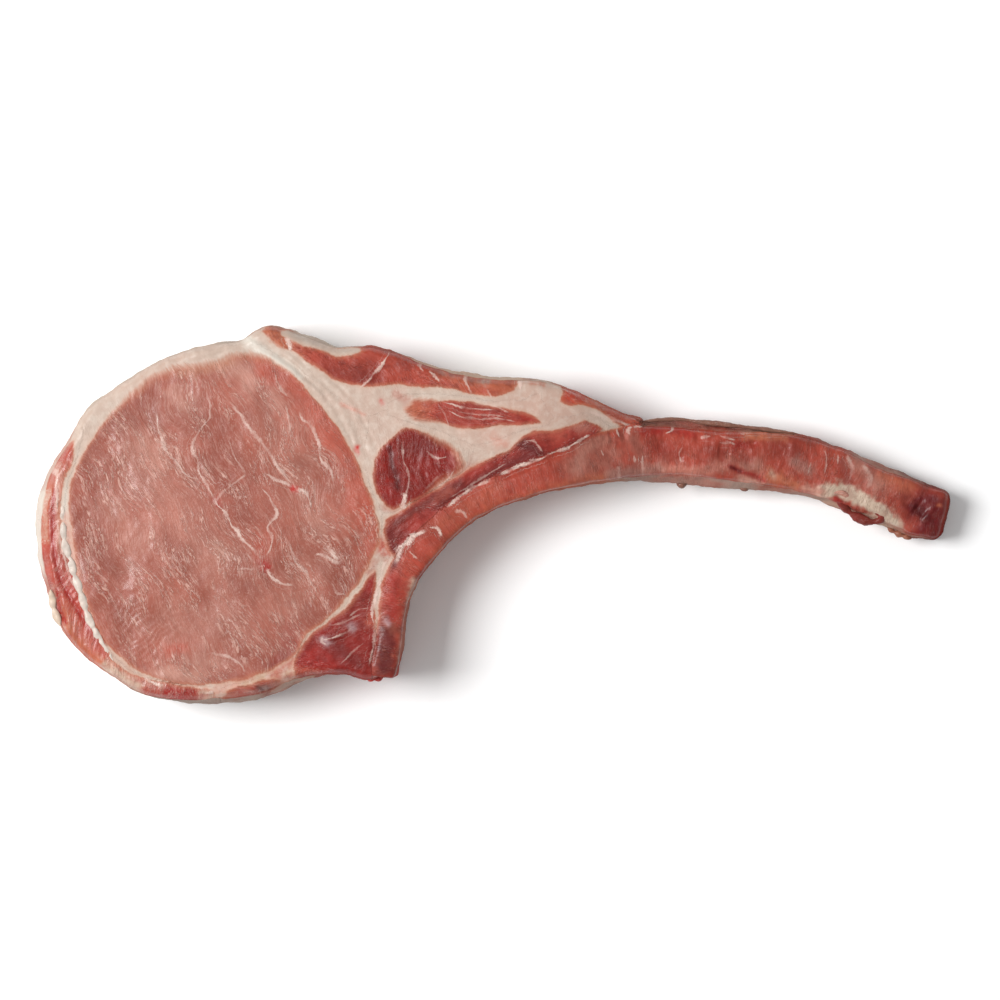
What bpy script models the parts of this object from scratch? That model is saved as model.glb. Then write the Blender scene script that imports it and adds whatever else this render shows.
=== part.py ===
"""A raw bone-in pork rib chop, lying on one of its two cut faces.

The chop is one slab of loin, thickest round the big eye muscle and falling away towards the long
bare rib. The slab is modelled once, as one closed form. Each muscle that shows on the cut face is
that slab kept inside the muscle's own outline, and the fat is what is left between them. The rib is
a loft along its own curve, because its section changes from end to end.

Metres, +Z up. The origin is on the flat underside, below the middle of the eye muscle, and the rib
runs along +X.
"""

import math

import bmesh
import bpy
from mathutils import Vector
from mathutils.geometry import delaunay_2d_cdt

MM = 0.001

# Thickness of the slab, from the loin down to the tip of the rib.
LOIN_THICKNESS = 30 * MM
NECK_THICKNESS = 18.5 * MM
TIP_THICKNESS = 13 * MM
TAPER_START = 84 * MM  # x where the slab starts to fall away
NECK = 124 * MM  # x where only the rib is left
RIB_TIP = 200 * MM
EYE_DOME = 1.2 * MM  # how far the eye muscle stands up in its middle
EYE_RADIUS = 44 * MM

GAP = 0.3 * MM  # between neighbouring solids
OUTLINE_STEP = 2.6 * MM  # length of an outline's straight facets
RELIEF_STEP = 6 * MM  # spacing of the points inside the top face
RIM_ROUND = 0.8 * MM  # how far the top and bottom edges are rounded in
CUTTER_LOW = -10 * MM
CUTTER_HIGH = 45 * MM

# The side of the slab from the bottom up: share of the height, share of the edge's bulge.
SIDE_PROFILE = [(0.05, 0.4), (0.25, 0.9), (0.5, 1.0), (0.75, 0.75), (0.95, 0.2)]

# The rim of the cut face in mm, anticlockwise, as (x, y, bulge of the side below it). The stretch
# along the rib isn't listed: it follows the rib's own curve.
LOIN_RIM = [
    (-42, 20, 1.6), (-46, 12.5, 2.6), (-48.5, 3.5, 3.5), (-48.7, -8, 3.4), (-46.5, -20, 2.5),
    (-43, -31, 1.4), (-37.5, -37.5, 1), (-30, -43, 1), (-23, -47.3, 1), (-15, -49.2, 1.2),
    (-4, -49.2, 2.4), (8, -48, 2.5), (17.5, -44.7, 2), (24, -42.8, 1.2), (33, -42.3, 0.9),
    (41, -44, 0.8),
]
CAP_RIM = [
    (117.5, 25.4, 0.4), (108, 29.2, 0.5), (97, 34.2, 0.6), (87, 37.3, 0.8), (73.5, 37.7, 1.4),
    (65, 38.8, 1.6), (57, 41.2, 0.8), (46, 45.3, 0.7), (39, 46.7, 0.8), (31, 46.4, 0.8),
    (23, 49.5, 0.8), (12, 52.2, 0.8), (5, 48.2, 0.8), (-1, 47.7, 0.8), (-10, 45.5, 0.8),
    (-18, 42.4, 0.8), (-28, 36.3, 0.9), (-37, 29.3, 1.1),
]

# The rib in mm: (x, y, half width, how far the lower flank stands out on each side of its cut face).
RIB_STATIONS = [
    (44, -43.5, 3.4, 0), (44.8, -38.5, 3.8, 0), (45.6, -33, 3.7, 0), (46.3, -26.5, 3.8, 0),
    (47.3, -20, 4.4, 0), (50, -14, 4.7, 0), (54.2, -8.7, 4.6, 0), (59, -3.6, 4.3, 0),
    (64.5, 1.1, 4.1, 0), (71, 5.2, 4.1, 0), (79, 8.7, 4.5, 0.1), (88.3, 11.9, 5, 0.1),
    (97.2, 14.6, 6.2, 0.2), (105.3, 16.9, 7.3, 0.4), (115, 18.4, 8.3, 1), (126, 18.2, 9, 2.2),
    (136.5, 17.1, 8.9, 2), (147, 16.5, 8.8, 1.2), (157.5, 15, 8.6, 0.8), (168, 12, 8.1, 0.6),
    (177, 7.9, 8.2, 1.3), (185.5, 4.9, 8.1, 1), (192, 2, 7.9, 0.5), (196.5, 0.9, 7.4, 0.3),
]
RIB_STEP = 4.5 * MM
RIB_END_ROUND = 3.5 * MM
RIB_END_STEPS = 3

# Left half of the rib's section from the bottom up: side to side as a share of the half width, height
# as a share of the thickness. The shoulder, round the cut face, is drawn in by the station's flank.
RIB_SIDE = [(-0.86, 0), (-0.97, 0.08), (-1, 0.35), (-0.98, 0.62)]
RIB_SHOULDER = [(-0.97, 0.93), (-0.9, 1), (-0.4, 1.012)]

# Outlines of the muscles on the cut face in mm. Where one reaches the edge of the chop or the rib,
# its outline runs on past it.
EYE = [
    (-41.5, 2), (-39, 15), (-28.5, 30), (-16.5, 39.5), (-3, 42.2), (7.5, 44.7), (18, 39.9),
    (30.5, 27), (38, 12), (42.8, -3), (40.5, -11.5), (32.5, -23.2), (22.5, -32.2), (17.5, -39),
    (2, -44.2), (-17.5, -43.8), (-30.5, -34.2), (-38, -15),
]
SIDE_MUSCLE = [
    (-41.4, 22.5), (-40.2, 17), (-43.3, 9.5), (-44, 0), (-40.6, -16.5), (-36.5, -27.5),
    (-31, -37.3), (-24, -43), (-10, -46.2), (-2.5, -47.4), (-3, -52), (-18, -56), (-37, -46),
    (-45.5, -35), (-44.6, -27), (-47.2, -13), (-47.7, 0), (-46, 9.5),
]
CAP_MUSCLE = [
    (9, 55), (12.2, 49.8), (15.5, 46.9), (20, 45.3), (24, 42.4), (28.3, 39), (34, 36.6),
    (43.5, 36), (49, 36.5), (54.5, 35.4), (60, 35.6), (66, 34), (71.5, 33), (77, 34), (80.5, 36.2),
    (80.5, 41), (70, 43), (55, 47), (45, 51), (30, 54),
]
EDGE_FAT = [
    (16.5, 53.5), (16, 49.9), (19.5, 48.3), (25.5, 46.4), (32.5, 44.2), (37, 45), (38, 50),
    (28, 53),
]
INNER_MUSCLE = [
    (50, 29.6), (52.5, 31.9), (60, 32.2), (67.5, 31.9), (74, 30.2), (82, 28.8), (86.8, 26),
    (81, 25.5), (73, 25), (66, 24.3), (59.5, 26.3), (53, 27),
]
OVAL_MUSCLE = [
    (49.3, 24.2), (53.5, 23.7), (59.5, 21), (64.4, 18), (65.7, 15), (63.5, 12.2), (58.3, 9.8),
    (55, 6), (50.7, 4.9), (46.9, 2.3), (43.2, 5), (41.3, 9.5), (41.9, 16), (45, 20.5),
]
RIB_MUSCLE = [
    (44.7, -0.7), (48.5, 1.4), (54, 4.7), (59.5, 8), (64.5, 10.7), (69, 13.9), (73.6, 16.4),
    (78, 18.2), (81.5, 21.5), (85, 23.5), (90, 23.7), (95, 24.8), (99.3, 26.9), (102.8, 25.2),
    (105, 21), (99, 15), (88, 12), (77, 7), (65.5, 1), (58, -5), (51, -13), (46.8, -10.6),
    (44.4, -6),
]
TAIL_MUSCLE = [
    (92, 40), (92.9, 34.4), (92, 31.6), (94.6, 30.4), (98.5, 30.7), (103, 29.2), (107, 26.6),
    (111.5, 24.6), (116, 22), (124, 24), (119, 32), (104, 39),
]
CHINE_MUSCLE = [
    (41.6, -14.6), (38.2, -19.4), (34, -24.6), (25, -31.8), (21.2, -36.5), (20, -40), (21, -46),
    (34, -48), (43, -48), (43, -41), (41.3, -35.5), (41.6, -30), (41, -24), (41.7, -18),
]
LOWER_MUSCLE = [
    (1.5, -47.4), (7.5, -45.6), (13.6, -43.9), (16.6, -44.5), (17.5, -49), (9, -54), (1, -53),
]

# Base colour (linear), and roughness, of each tissue.
TISSUES = {
    "lean_pale": ((0.50, 0.23, 0.185, 1), 0.42),
    "lean_red": ((0.30, 0.085, 0.065, 1), 0.4),
    "rib_meat": ((0.36, 0.125, 0.09, 1), 0.45),
    "fat": ((0.76, 0.62, 0.52, 1), 0.5),
}


def smooth_loop(points, step):
    """Points about a step apart on the closed curve through the given ones."""
    loop = []
    count = len(points)
    for i in range(count):
        before, here, there, after = (Vector(points[(i + k) % count]) for k in (-1, 0, 1, 2))
        pieces = max(1, round((there - here).length / step))
        for piece in range(pieces):
            loop.append(on_curve(before, here, there, after, piece / pieces))
    return loop


def on_curve(before, here, there, after, t):
    """Catmull-Rom: the point a share t of the way from here to there."""
    slope_here = (there - before) / 2
    slope_there = (after - here) / 2
    return (
        here * (2 * t**3 - 3 * t**2 + 1)
        + slope_here * (t**3 - 2 * t**2 + t)
        + there * (3 * t**2 - 2 * t**3)
        + slope_there * (t**3 - t**2)
    )


def in_metres(rows):
    return [tuple(value * MM for value in row) for row in rows]


def outward(loop, i):
    """Direction in the plane, out of an anticlockwise loop at its point i."""
    along = (loop[(i + 1) % len(loop)] - loop[i - 1]).to_2d().normalized()
    return Vector((along.y, -along.x))


def anticlockwise(loop):
    area = sum(loop[i - 1].x * loop[i].y - loop[i].x * loop[i - 1].y for i in range(len(loop)))
    return loop if area > 0 else loop[::-1]


def ease(t):
    t = min(max(t, 0), 1)
    return t * t * (3 - 2 * t)


def thickness(x):
    """Height of the cut face above the table at a place along the chop."""
    loin = LOIN_THICKNESS + (NECK_THICKNESS - LOIN_THICKNESS) * ease((x - TAPER_START) / (NECK - TAPER_START))
    return loin - (NECK_THICKNESS - TIP_THICKNESS) * ease((x - NECK) / (RIB_TIP - NECK))


def face_height(x, y):
    """The cut face: the slab's thickness, with the eye muscle swelling up in the middle."""
    swell = max(0, 1 - (x * x + y * y) / EYE_RADIUS**2)
    return thickness(x) + EYE_DOME * swell**1.5


def new_object(name, mesh, collection, material=None):
    mesh.name = name
    obj = bpy.data.objects.new(name, mesh)
    collection.objects.link(obj)
    if material:
        mesh.materials.append(material)
    return obj


def mesh_of(bm):
    bmesh.ops.recalc_face_normals(bm, faces=bm.faces)
    mesh = bpy.data.meshes.new("mesh")
    bm.to_mesh(mesh)
    bm.free()
    return mesh


def bridge(bm, lower, upper):
    """A band of faces between two rings of the same number of vertices."""
    count = len(lower)
    for i in range(count):
        j = (i + 1) % count
        bm.faces.new((lower[i], lower[j], upper[j], upper[i]))


def slab_rim():
    """The rim of the whole slab: the two listed stretches, joined by the curve of the rib."""
    along_rib = [(x, y, 0) for x, y, _, _ in RIB_STATIONS[1:15]]
    points = LOIN_RIM + along_rib + CAP_RIM
    return smooth_loop(in_metres(points), OUTLINE_STEP)


def relief_points(rim):
    """A staggered grid of points inside the rim, none of them close to it."""
    low_x, high_x = min(p.x for p in rim), max(p.x for p in rim)
    low_y, high_y = min(p.y for p in rim), max(p.y for p in rim)
    row_height = RELIEF_STEP * math.sqrt(3) / 2
    found = []
    for row in range(math.ceil((high_y - low_y) / row_height)):
        for column in range(math.ceil((high_x - low_x) / RELIEF_STEP)):
            point = Vector((low_x + (column + row % 2 / 2) * RELIEF_STEP, low_y + row * row_height))
            clear = min((point - p.to_2d()).length for p in rim) > RELIEF_STEP * 0.45
            if clear and is_inside(point, rim):
                found.append(point)
    return found


def is_inside(point, loop):
    """Whether a line from the point towards +X leaves the loop an odd number of times."""
    inside = False
    for a, b in zip(loop, loop[1:] + loop[:1]):
        if (a.y > point.y) != (b.y > point.y):
            if point.x < a.x + (b.x - a.x) * (point.y - a.y) / (b.y - a.y):
                inside = not inside
    return inside


def slab_mesh():
    """The whole slab without its bare rib: bulging sides, rounded edges and a modelled cut face."""
    rim = slab_rim()
    normals = [outward(rim, i) for i in range(len(rim))]
    bm = bmesh.new()
    rings = []
    for height, bulge in [(0, None), *SIDE_PROFILE, (1, None)]:
        ring = []
        for point, normal in zip(rim, normals):
            shift = -RIM_ROUND if bulge is None else bulge * point.z
            place = point.to_2d() + normal * shift
            ring.append(bm.verts.new((*place, height * face_height(point.x, point.y))))
        rings.append(ring)
    for lower, upper in zip(rings, rings[1:]):
        bridge(bm, lower, upper)
    bm.faces.new(rings[0][::-1])
    fill_cut_face(bm, rings[-1], relief_points(rim))
    return mesh_of(bm)


def fill_cut_face(bm, ring, inner_points):
    """Triangles over the ring that also pass through the inner points, at the cut face's height."""
    flat = [vert.co.to_2d() for vert in ring] + inner_points
    places, _, faces, sources, _, _ = delaunay_2d_cdt(flat, [], [range(len(ring))], 1, 1e-7)
    verts = []
    for place, source in zip(places, sources):
        if source and source[0] < len(ring):
            verts.append(ring[source[0]])
        else:
            verts.append(bm.verts.new((*place, face_height(*place))))
    for face in faces:
        bm.faces.new([verts[i] for i in face])


def prism_mesh(outline, grow=0):
    """An upright prism over an outline, grown outwards by a little and taller than the chop."""
    loop = anticlockwise(smooth_loop(in_metres(outline), OUTLINE_STEP))
    bm = bmesh.new()
    rings = []
    for z in (CUTTER_LOW, CUTTER_HIGH):
        places = [point + outward(loop, i) * grow for i, point in enumerate(loop)]
        rings.append([bm.verts.new((*place, z)) for place in places])
    bridge(bm, *rings)
    bm.faces.new(rings[0][::-1])
    bm.faces.new(rings[1])
    return mesh_of(bm)


def rib_stations():
    """Stations about a step apart along the smooth curve of the rib, in metres."""
    rows = [Vector(row) for row in in_metres(RIB_STATIONS)]
    rows = [rows[0] * 2 - rows[1], *rows, rows[-1] * 2 - rows[-2]]
    found = []
    for before, here, there, after in zip(rows, rows[1:], rows[2:], rows[3:]):
        pieces = max(1, round((there.to_2d() - here.to_2d()).length / RIB_STEP))
        found += [on_curve(before, here, there, after, piece / pieces) for piece in range(pieces)]
    return found + [rows[-2]]


def rib_ring(bm, stations, i, section, scale=1, shift=0):
    """One section of the rib: scale shrinks it towards its middle, shift moves it along the rib."""
    here = stations[i]
    along = (stations[min(i + 1, len(stations) - 1)] - stations[max(i - 1, 0)]).to_2d().normalized()
    across = Vector((-along.y, along.x))
    middle = here.to_2d() + along * shift
    ring = []
    for side, height in section(here):
        place = middle + across * side * scale
        centre = thickness(here.x) / 2
        ring.append(bm.verts.new((*place, centre + (height - centre) * scale)))
    return ring


def rib_section(station):
    """The rib's own section at a station, as (side to side, height)."""
    _, _, half_width, flank = station
    tall = thickness(station.x)
    left = [(side * half_width, height * tall) for side, height in RIB_SIDE]
    left += [(side * (half_width - flank), height * tall) for side, height in RIB_SHOULDER]
    return left + [(-side, height) for side, height in reversed(left)]


def rib_cutter_section(station):
    """The plain upright space round the rib, which the muscles beside it leave free."""
    reach = station[2] + GAP
    return [(-reach, CUTTER_LOW), (-reach, CUTTER_HIGH), (reach, CUTTER_HIGH), (reach, CUTTER_LOW)]


def rib_mesh(section, rounded_ends):
    stations = rib_stations()
    last = len(stations) - 1
    bm = bmesh.new()
    rings = [rib_ring(bm, stations, i, section) for i in range(last + 1)]
    if rounded_ends:
        for step in range(1, RIB_END_STEPS + 1):
            turn = step / RIB_END_STEPS * math.pi / 2
            shift = RIB_END_ROUND * math.sin(turn)
            scale = 0.6 + 0.4 * math.cos(turn)
            rings.append(rib_ring(bm, stations, last, section, scale, shift))
    for lower, upper in zip(rings, rings[1:]):
        bridge(bm, lower, upper)
    bm.faces.new(rings[0])
    bm.faces.new(rings[-1][::-1])
    return mesh_of(bm)


def new_material(name):
    colour, roughness = TISSUES[name]
    material = bpy.data.materials.new(name)
    material.use_nodes = True
    shader = material.node_tree.nodes["Principled BSDF"]
    shader.inputs["Base Color"].default_value = colour
    shader.inputs["Roughness"].default_value = roughness
    return material


def add_boolean(obj, operation, cutter):
    boolean = obj.modifiers.new(f"{operation.lower()}_{cutter.name}", "BOOLEAN")
    boolean.operation = operation
    boolean.object = cutter


def new_cutter(name, mesh, collection):
    cutter = new_object(name, mesh, collection)
    cutter.hide_render = True
    cutter.display_type = "WIRE"
    return cutter


def main():
    for obj in list(bpy.data.objects):
        bpy.data.objects.remove(obj)
    chop = bpy.data.collections.new("pork_rib_chop")
    cutters = bpy.data.collections.new("cutters")
    for collection in (chop, cutters):
        bpy.context.scene.collection.children.link(collection)
    materials = {name: new_material(name) for name in TISSUES}

    rib = new_object("rib", rib_mesh(rib_section, True), chop, materials["rib_meat"])
    rib.data.shade_smooth()
    rib_space = new_cutter("rib_space", rib_mesh(rib_cutter_section, False), cutters)

    muscles = {
        "loin_eye": (EYE, "lean_pale"),
        "side_muscle": (SIDE_MUSCLE, "lean_pale"),
        "edge_fat": (EDGE_FAT, "fat"),
        "cap_muscle": (CAP_MUSCLE, "lean_red"),
        "inner_muscle": (INNER_MUSCLE, "lean_red"),
        "oval_muscle": (OVAL_MUSCLE, "lean_red"),
        "rib_muscle": (RIB_MUSCLE, "lean_red"),
        "tail_muscle": (TAIL_MUSCLE, "lean_pale"),
        "chine_muscle": (CHINE_MUSCLE, "lean_red"),
        "lower_muscle": (LOWER_MUSCLE, "lean_pale"),
    }
    spaces = {
        name: new_cutter(f"{name}_space", prism_mesh(outline, GAP), cutters)
        for name, (outline, _) in muscles.items()
    }
    for name, (outline, tissue) in muscles.items():
        muscle = new_object(name, slab_mesh(), chop, materials[tissue])
        add_boolean(muscle, "INTERSECT", new_cutter(f"{name}_outline", prism_mesh(outline), cutters))
        add_boolean(muscle, "DIFFERENCE", rib_space)
        if name == "cap_muscle":
            add_boolean(muscle, "DIFFERENCE", spaces["edge_fat"])

    fat = new_object("fat_cap", slab_mesh(), chop, materials["fat"])
    for space in (rib_space, *spaces.values()):
        add_boolean(fat, "DIFFERENCE", space)


main()
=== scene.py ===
import math

import bpy
import numpy as np
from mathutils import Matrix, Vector, noise
from mathutils.bvhtree import BVHTree
from mathutils.kdtree import KDTree


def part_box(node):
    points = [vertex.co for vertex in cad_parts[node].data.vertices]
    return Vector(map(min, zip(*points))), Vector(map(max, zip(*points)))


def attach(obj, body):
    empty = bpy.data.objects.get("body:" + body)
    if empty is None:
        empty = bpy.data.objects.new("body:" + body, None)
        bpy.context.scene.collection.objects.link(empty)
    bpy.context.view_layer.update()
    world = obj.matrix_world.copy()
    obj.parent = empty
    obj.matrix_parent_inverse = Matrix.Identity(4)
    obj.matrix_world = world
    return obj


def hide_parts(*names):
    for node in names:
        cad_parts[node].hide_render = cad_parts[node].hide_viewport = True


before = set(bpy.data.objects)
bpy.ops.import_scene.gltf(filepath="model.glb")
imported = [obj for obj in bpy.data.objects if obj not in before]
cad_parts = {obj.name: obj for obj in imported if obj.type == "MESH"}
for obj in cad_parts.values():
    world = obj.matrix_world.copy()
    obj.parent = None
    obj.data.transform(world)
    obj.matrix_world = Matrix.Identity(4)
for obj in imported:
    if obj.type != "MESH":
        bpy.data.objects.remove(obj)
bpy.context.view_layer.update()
mm = 0.001
print("frame loaded:", len(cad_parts), "solids")


# Shapes are worked out in millimetres and become metres when a mesh is written.
def ease(low, high, value):
    t = np.clip((value - low) / (high - low), 0, 1)
    return t * t * (3 - 2 * t)


def wobble(points, size, seed, octaves=1):
    # smooth noise of about -1 to 1 whose lumps are about this size across
    step = np.asarray(points, float) / size + np.array([seed * 7.31, seed * 3.17, seed * 5.03])
    total = np.zeros(len(step))
    for octave in range(octaves):
        heights = [noise.noise(place) for place in (step * 2**octave).tolist()]
        total += np.array(heights) * 1.6 * 0.5**octave
    return total


def flat(points, z=0):
    return np.column_stack([points, np.full(len(points), z)])


def smoothCurve(points, steps=8):
    # points along the smooth curve through the given ones
    rows = np.array(points, float)
    rows = np.vstack([2 * rows[0] - rows[1], rows, 2 * rows[-1] - rows[-2]])
    found = []
    for before, here, there, after in zip(rows, rows[1:], rows[2:], rows[3:]):
        for t in np.arange(steps) / steps:
            found.append(
                here * (2 * t**3 - 3 * t**2 + 1) + (there - before) / 2 * (t**3 - 2 * t**2 + t)
                + there * (3 * t**2 - 2 * t**3) + (after - here) / 2 * (t**3 - t**2)
            )
    return np.array(found + [rows[-2]])


def nearestOn(points, starts, ends):
    # for each point: distance to the nearest of these straight pieces, which one, and how far along it
    distance, piece, share = (np.empty(len(points)) for _ in range(3))
    run = ends - starts
    length = np.maximum((run**2).sum(1), 1e-12)
    for first in range(0, len(points), 500):
        part = slice(first, first + 500)
        away = points[part, None] - starts
        t = np.clip((away * run).sum(2) / length, 0, 1)
        away -= run * t[..., None]
        squared = (away**2).sum(2)
        best = squared.argmin(1)
        rows = np.arange(len(best))
        distance[part] = np.sqrt(squared[rows, best])
        piece[part] = best
        share[part] = t[rows, best]
    return distance, piece.astype(int), share


def pathField(points, path, reach):
    # distance to a path, signed side of it and share of its length, for the points within reach
    path = smoothCurve(path)
    low, high = path.min(0) - reach, path.max(0) + reach
    near = np.flatnonzero(((points > low) & (points < high)).all(1))
    distance, piece, share = nearestOn(points[near], path[:-1], path[1:])
    run = path[1:] - path[:-1]
    away = points[near] - path[piece]
    side = np.sign(run[piece, 0] * away[:, 1] - run[piece, 1] * away[:, 0])
    lengths = np.concatenate([[0], np.cumsum(np.linalg.norm(run, axis=1))])
    along = lengths[piece] + share * (lengths[piece + 1] - lengths[piece])
    kept = distance < reach
    return near[kept], distance[kept], side[kept], along[kept] / lengths[-1]


def meshPoints(mesh):
    points = np.empty(len(mesh.vertices) * 3, np.float32)
    mesh.vertices.foreach_get("co", points)
    return points.reshape(-1, 3)


def edgesOf(faces):
    return np.concatenate([faces[:, [0, 1]], faces[:, [1, 2]], faces[:, [2, 0]]])


def middleOf(name):
    low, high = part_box(name)
    return np.array([(low.x + high.x) / 2, (low.y + high.y) / 2]) / mm


# the solids, read once
def readSolid(name):
    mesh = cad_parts[name].data
    mesh.calc_loop_triangles()
    points = meshPoints(mesh).astype(float) / mm
    faces = np.empty(len(mesh.loop_triangles) * 3, np.int32)
    mesh.loop_triangles.foreach_get("vertices", faces)
    _, first, same = np.unique(np.round(points, 3), axis=0, return_index=True, return_inverse=True)
    return points[first], same.reshape(-1)[faces.reshape(-1, 3)]


def upwardFaces(points, faces):
    corners = points[faces]
    normals = np.cross(corners[:, 1] - corners[:, 0], corners[:, 2] - corners[:, 0])
    return faces[normals[:, 2] > 0.8 * np.linalg.norm(normals, axis=1)]


def openEdges(faces):
    edges = edgesOf(faces)
    _, index, count = np.unique(np.sort(edges, 1), axis=0, return_inverse=True, return_counts=True)
    return edges[count[index.reshape(-1)] == 1]


down = Vector((0, 0, -1))
lean = ["loin_eye", "side_muscle", "cap_muscle", "inner_muscle", "oval_muscle", "rib_muscle",
        "tail_muscle", "chine_muscle", "lower_muscle", "rib"]
fatty = ["fat_cap", "edge_fat"]
nodeNames = lean + fatty
solids = {name: readSolid(name) for name in nodeNames}
corners = np.array([[tuple(corner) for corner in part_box(name)] for name in nodeNames]) / mm
wholeLow, wholeHigh = corners[:, 0].min(0), corners[:, 1].max(0)


def outlineTree(points, edges):
    # an upright ribbon along the outline, so that the nearest place on it can be looked up
    count = len(points)
    ribbon = np.concatenate([points * (1, 1, 0) - (0, 0, 1), points * (1, 1, 0) + (0, 0, 1)])
    walls = np.column_stack([edges, edges[:, ::-1] + count])
    return BVHTree.FromPolygons(ribbon.tolist(), walls.tolist())


topFaces = {name: upwardFaces(points, faces) for name, (points, faces) in solids.items()}
topTrees = {name: BVHTree.FromPolygons(solids[name][0].tolist(), faces.tolist())
            for name, faces in topFaces.items()}
outlineTrees = {name: outlineTree(solids[name][0], openEdges(faces)) for name, faces in topFaces.items()}

# the middle line of the rib, as shares of its solid's box, from the chine to the tip
ribRoute = [
    (0.021, 0.002), (0.026, 0.078), (0.031, 0.155), (0.035, 0.246), (0.042, 0.338), (0.058, 0.422),
    (0.085, 0.496), (0.115, 0.568), (0.149, 0.634), (0.189, 0.691), (0.239, 0.741), (0.297, 0.785),
    (0.353, 0.823), (0.403, 0.856), (0.464, 0.877), (0.532, 0.874), (0.598, 0.858), (0.663, 0.85),
    (0.729, 0.829), (0.794, 0.787), (0.851, 0.729), (0.904, 0.687), (0.944, 0.646), (0.994, 0.624),
]
ribLow, ribHigh = (np.array(corner[:2]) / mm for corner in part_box("rib"))
ribLine = smoothCurve(ribLow + np.array(ribRoute) * (ribHigh - ribLow))
ribLengths = np.concatenate([[0], np.cumsum(np.linalg.norm(np.diff(ribLine, axis=0), axis=1))])


def onRib(along, across):
    # the place so far along the rib in mm, and so far to its upper side
    place = np.array([np.interp(along, ribLengths, ribLine[:, axis]) for axis in (0, 1)])
    ahead = np.array([np.interp(along + 1, ribLengths, ribLine[:, axis]) for axis in (0, 1)])
    behind = np.array([np.interp(along - 1, ribLengths, ribLine[:, axis]) for axis in (0, 1)])
    run = (ahead - behind) / max(np.linalg.norm(ahead - behind), 1e-9)
    return place + np.array([-run[1], run[0]]) * across


def placed(node, path):
    # a path given from the middle of a muscle, or along and across the rib, in mm
    if node == "rib":
        return np.array([onRib(*point) for point in path])
    return middleOf(node) + np.array(path, float)


# one fine closed surface over all the solids
surfaceSizes = {
    "spacing": 0.42,  # between points of the cut face
    "slit": 2.5,  # widest gap between two solids that the flesh closes over
    "ragged": 0.3,  # how far the borders between the tissues wander
    "raggedSize": 4.5,
    "rimDrop": 0.55,  # the cut edge is rounded down by this, over the rim width
    "rimWidth": 1.3,
    "reach": 14,  # how far outside the rim its side is looked for
    "beyond": 4,  # and how far inside it
    "sideLow": -1.5,  # the side stands out from the rim by this to sideHigh
    "sideHigh": 7,
    "footShare": 0.005,  # height of the foot, as a share of the thickness
    "far": 9,  # distances to an outline are told apart up to here
    "nearBox": 5,
    "facing": 0.2,  # how squarely two outlines face each other across a slit
    "above": 60,  # rays start down from here
    "island": 40,  # outlines of fewer points than this are cleared away
    "maskRounds": 8,
    "labelRounds": 12,
    "slitRounds": 40,
}
sideLevels = [0.965, 0.93, 0.89, 0.84, 0.785, 0.73, 0.67, 0.61, 0.55, 0.49, 0.43, 0.37, 0.31, 0.25,
              0.19, 0.13, 0.08, 0.035]  # heights of the rings down the side, as shares of the thickness


def latticePlaces(low, high, spacing):
    height = spacing * math.sqrt(3) / 2
    row, column = np.mgrid[0:int((high[1] - low[1]) / height) + 2, 0:int((high[0] - low[0]) / spacing) + 2]
    return np.stack([low[0] + (column + (row % 2) / 2) * spacing, low[1] + row * height], -1)


def fullNeighbours(mask):
    padded = np.pad(mask.astype(int), 1)
    count = padded[1:-1, :-2] + padded[1:-1, 2:]
    odd = (np.arange(mask.shape[0]) % 2 == 1)[:, None]
    for shift in (0, 2):
        band = padded[shift : shift + mask.shape[0]]
        count += band[:, 1:-1] + np.where(odd, band[:, 2:], band[:, :-2])
    return count


def latticeTriangles(index):
    a, b, c, d = index[:-1, :-1], index[:-1, 1:], index[1:, :-1], index[1:, 1:]
    even = (np.arange(index.shape[0] - 1) % 2 == 0)[:, None, None]
    first = np.where(even, np.stack([a, b, c], -1), np.stack([a, b, d], -1))
    second = np.where(even, np.stack([b, d, c], -1), np.stack([a, d, c], -1))
    triangles = np.concatenate([first.reshape(-1, 3), second.reshape(-1, 3)])
    return triangles[(triangles >= 0).all(1)]


def signedDistances(points):
    # for each solid, how far inside its outline each point lies, and the way to the nearest place on it
    warp = surfaceSizes["ragged"] * np.column_stack(
        [wobble(flat(points), surfaceSizes["raggedSize"], seed, 2) for seed in (1, 2)])
    points = points + warp
    depth = np.full((len(points), len(nodeNames)), -float(surfaceSizes["far"]))
    nearest = np.zeros((len(points), len(nodeNames), 2))
    for column, name in enumerate(nodeNames):
        low, high = (np.array(corner[:2]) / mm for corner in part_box(name))
        margin = surfaceSizes["nearBox"]
        near = np.flatnonzero(((points > low - margin) & (points < high + margin)).all(1))
        rays, edges = topTrees[name], outlineTrees[name]
        for row, (x, y) in zip(near.tolist(), points[near].tolist()):
            place, _, _, distance = edges.find_nearest((x, y, 0))
            inside = rays.ray_cast((x, y, surfaceSizes["above"]), down)[0] is not None
            depth[row, column] = distance if inside else -distance
            nearest[row, column] = place.x - x, place.y - y
    return np.clip(depth, -surfaceSizes["far"], surfaceSizes["far"]), nearest


def coveredPlaces(depth, nearest):
    # inside a solid, or in the slit between two that face each other
    order = np.argsort(-depth, 1)[:, :2]
    rows = np.arange(len(depth))
    best, second = (depth[rows, order[:, k]] for k in (0, 1))
    toBest, toSecond = (nearest[rows, order[:, k]] for k in (0, 1))
    facing = (toBest * toSecond).sum(1) < -surfaceSizes["facing"] * np.abs(best * second)
    return (best > 0) | ((best + second > -surfaceSizes["slit"]) & facing)


def chained(edges):
    after = dict(edges.tolist())
    loops = []
    while after:
        first, here = after.popitem()
        loop = [first]
        while here in after:
            loop.append(here)
            here = after.pop(here)
        loops.append(loop)
    return loops


def meshLinks(triangles):
    return np.unique(np.sort(edgesOf(triangles), 1), axis=0)


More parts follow.
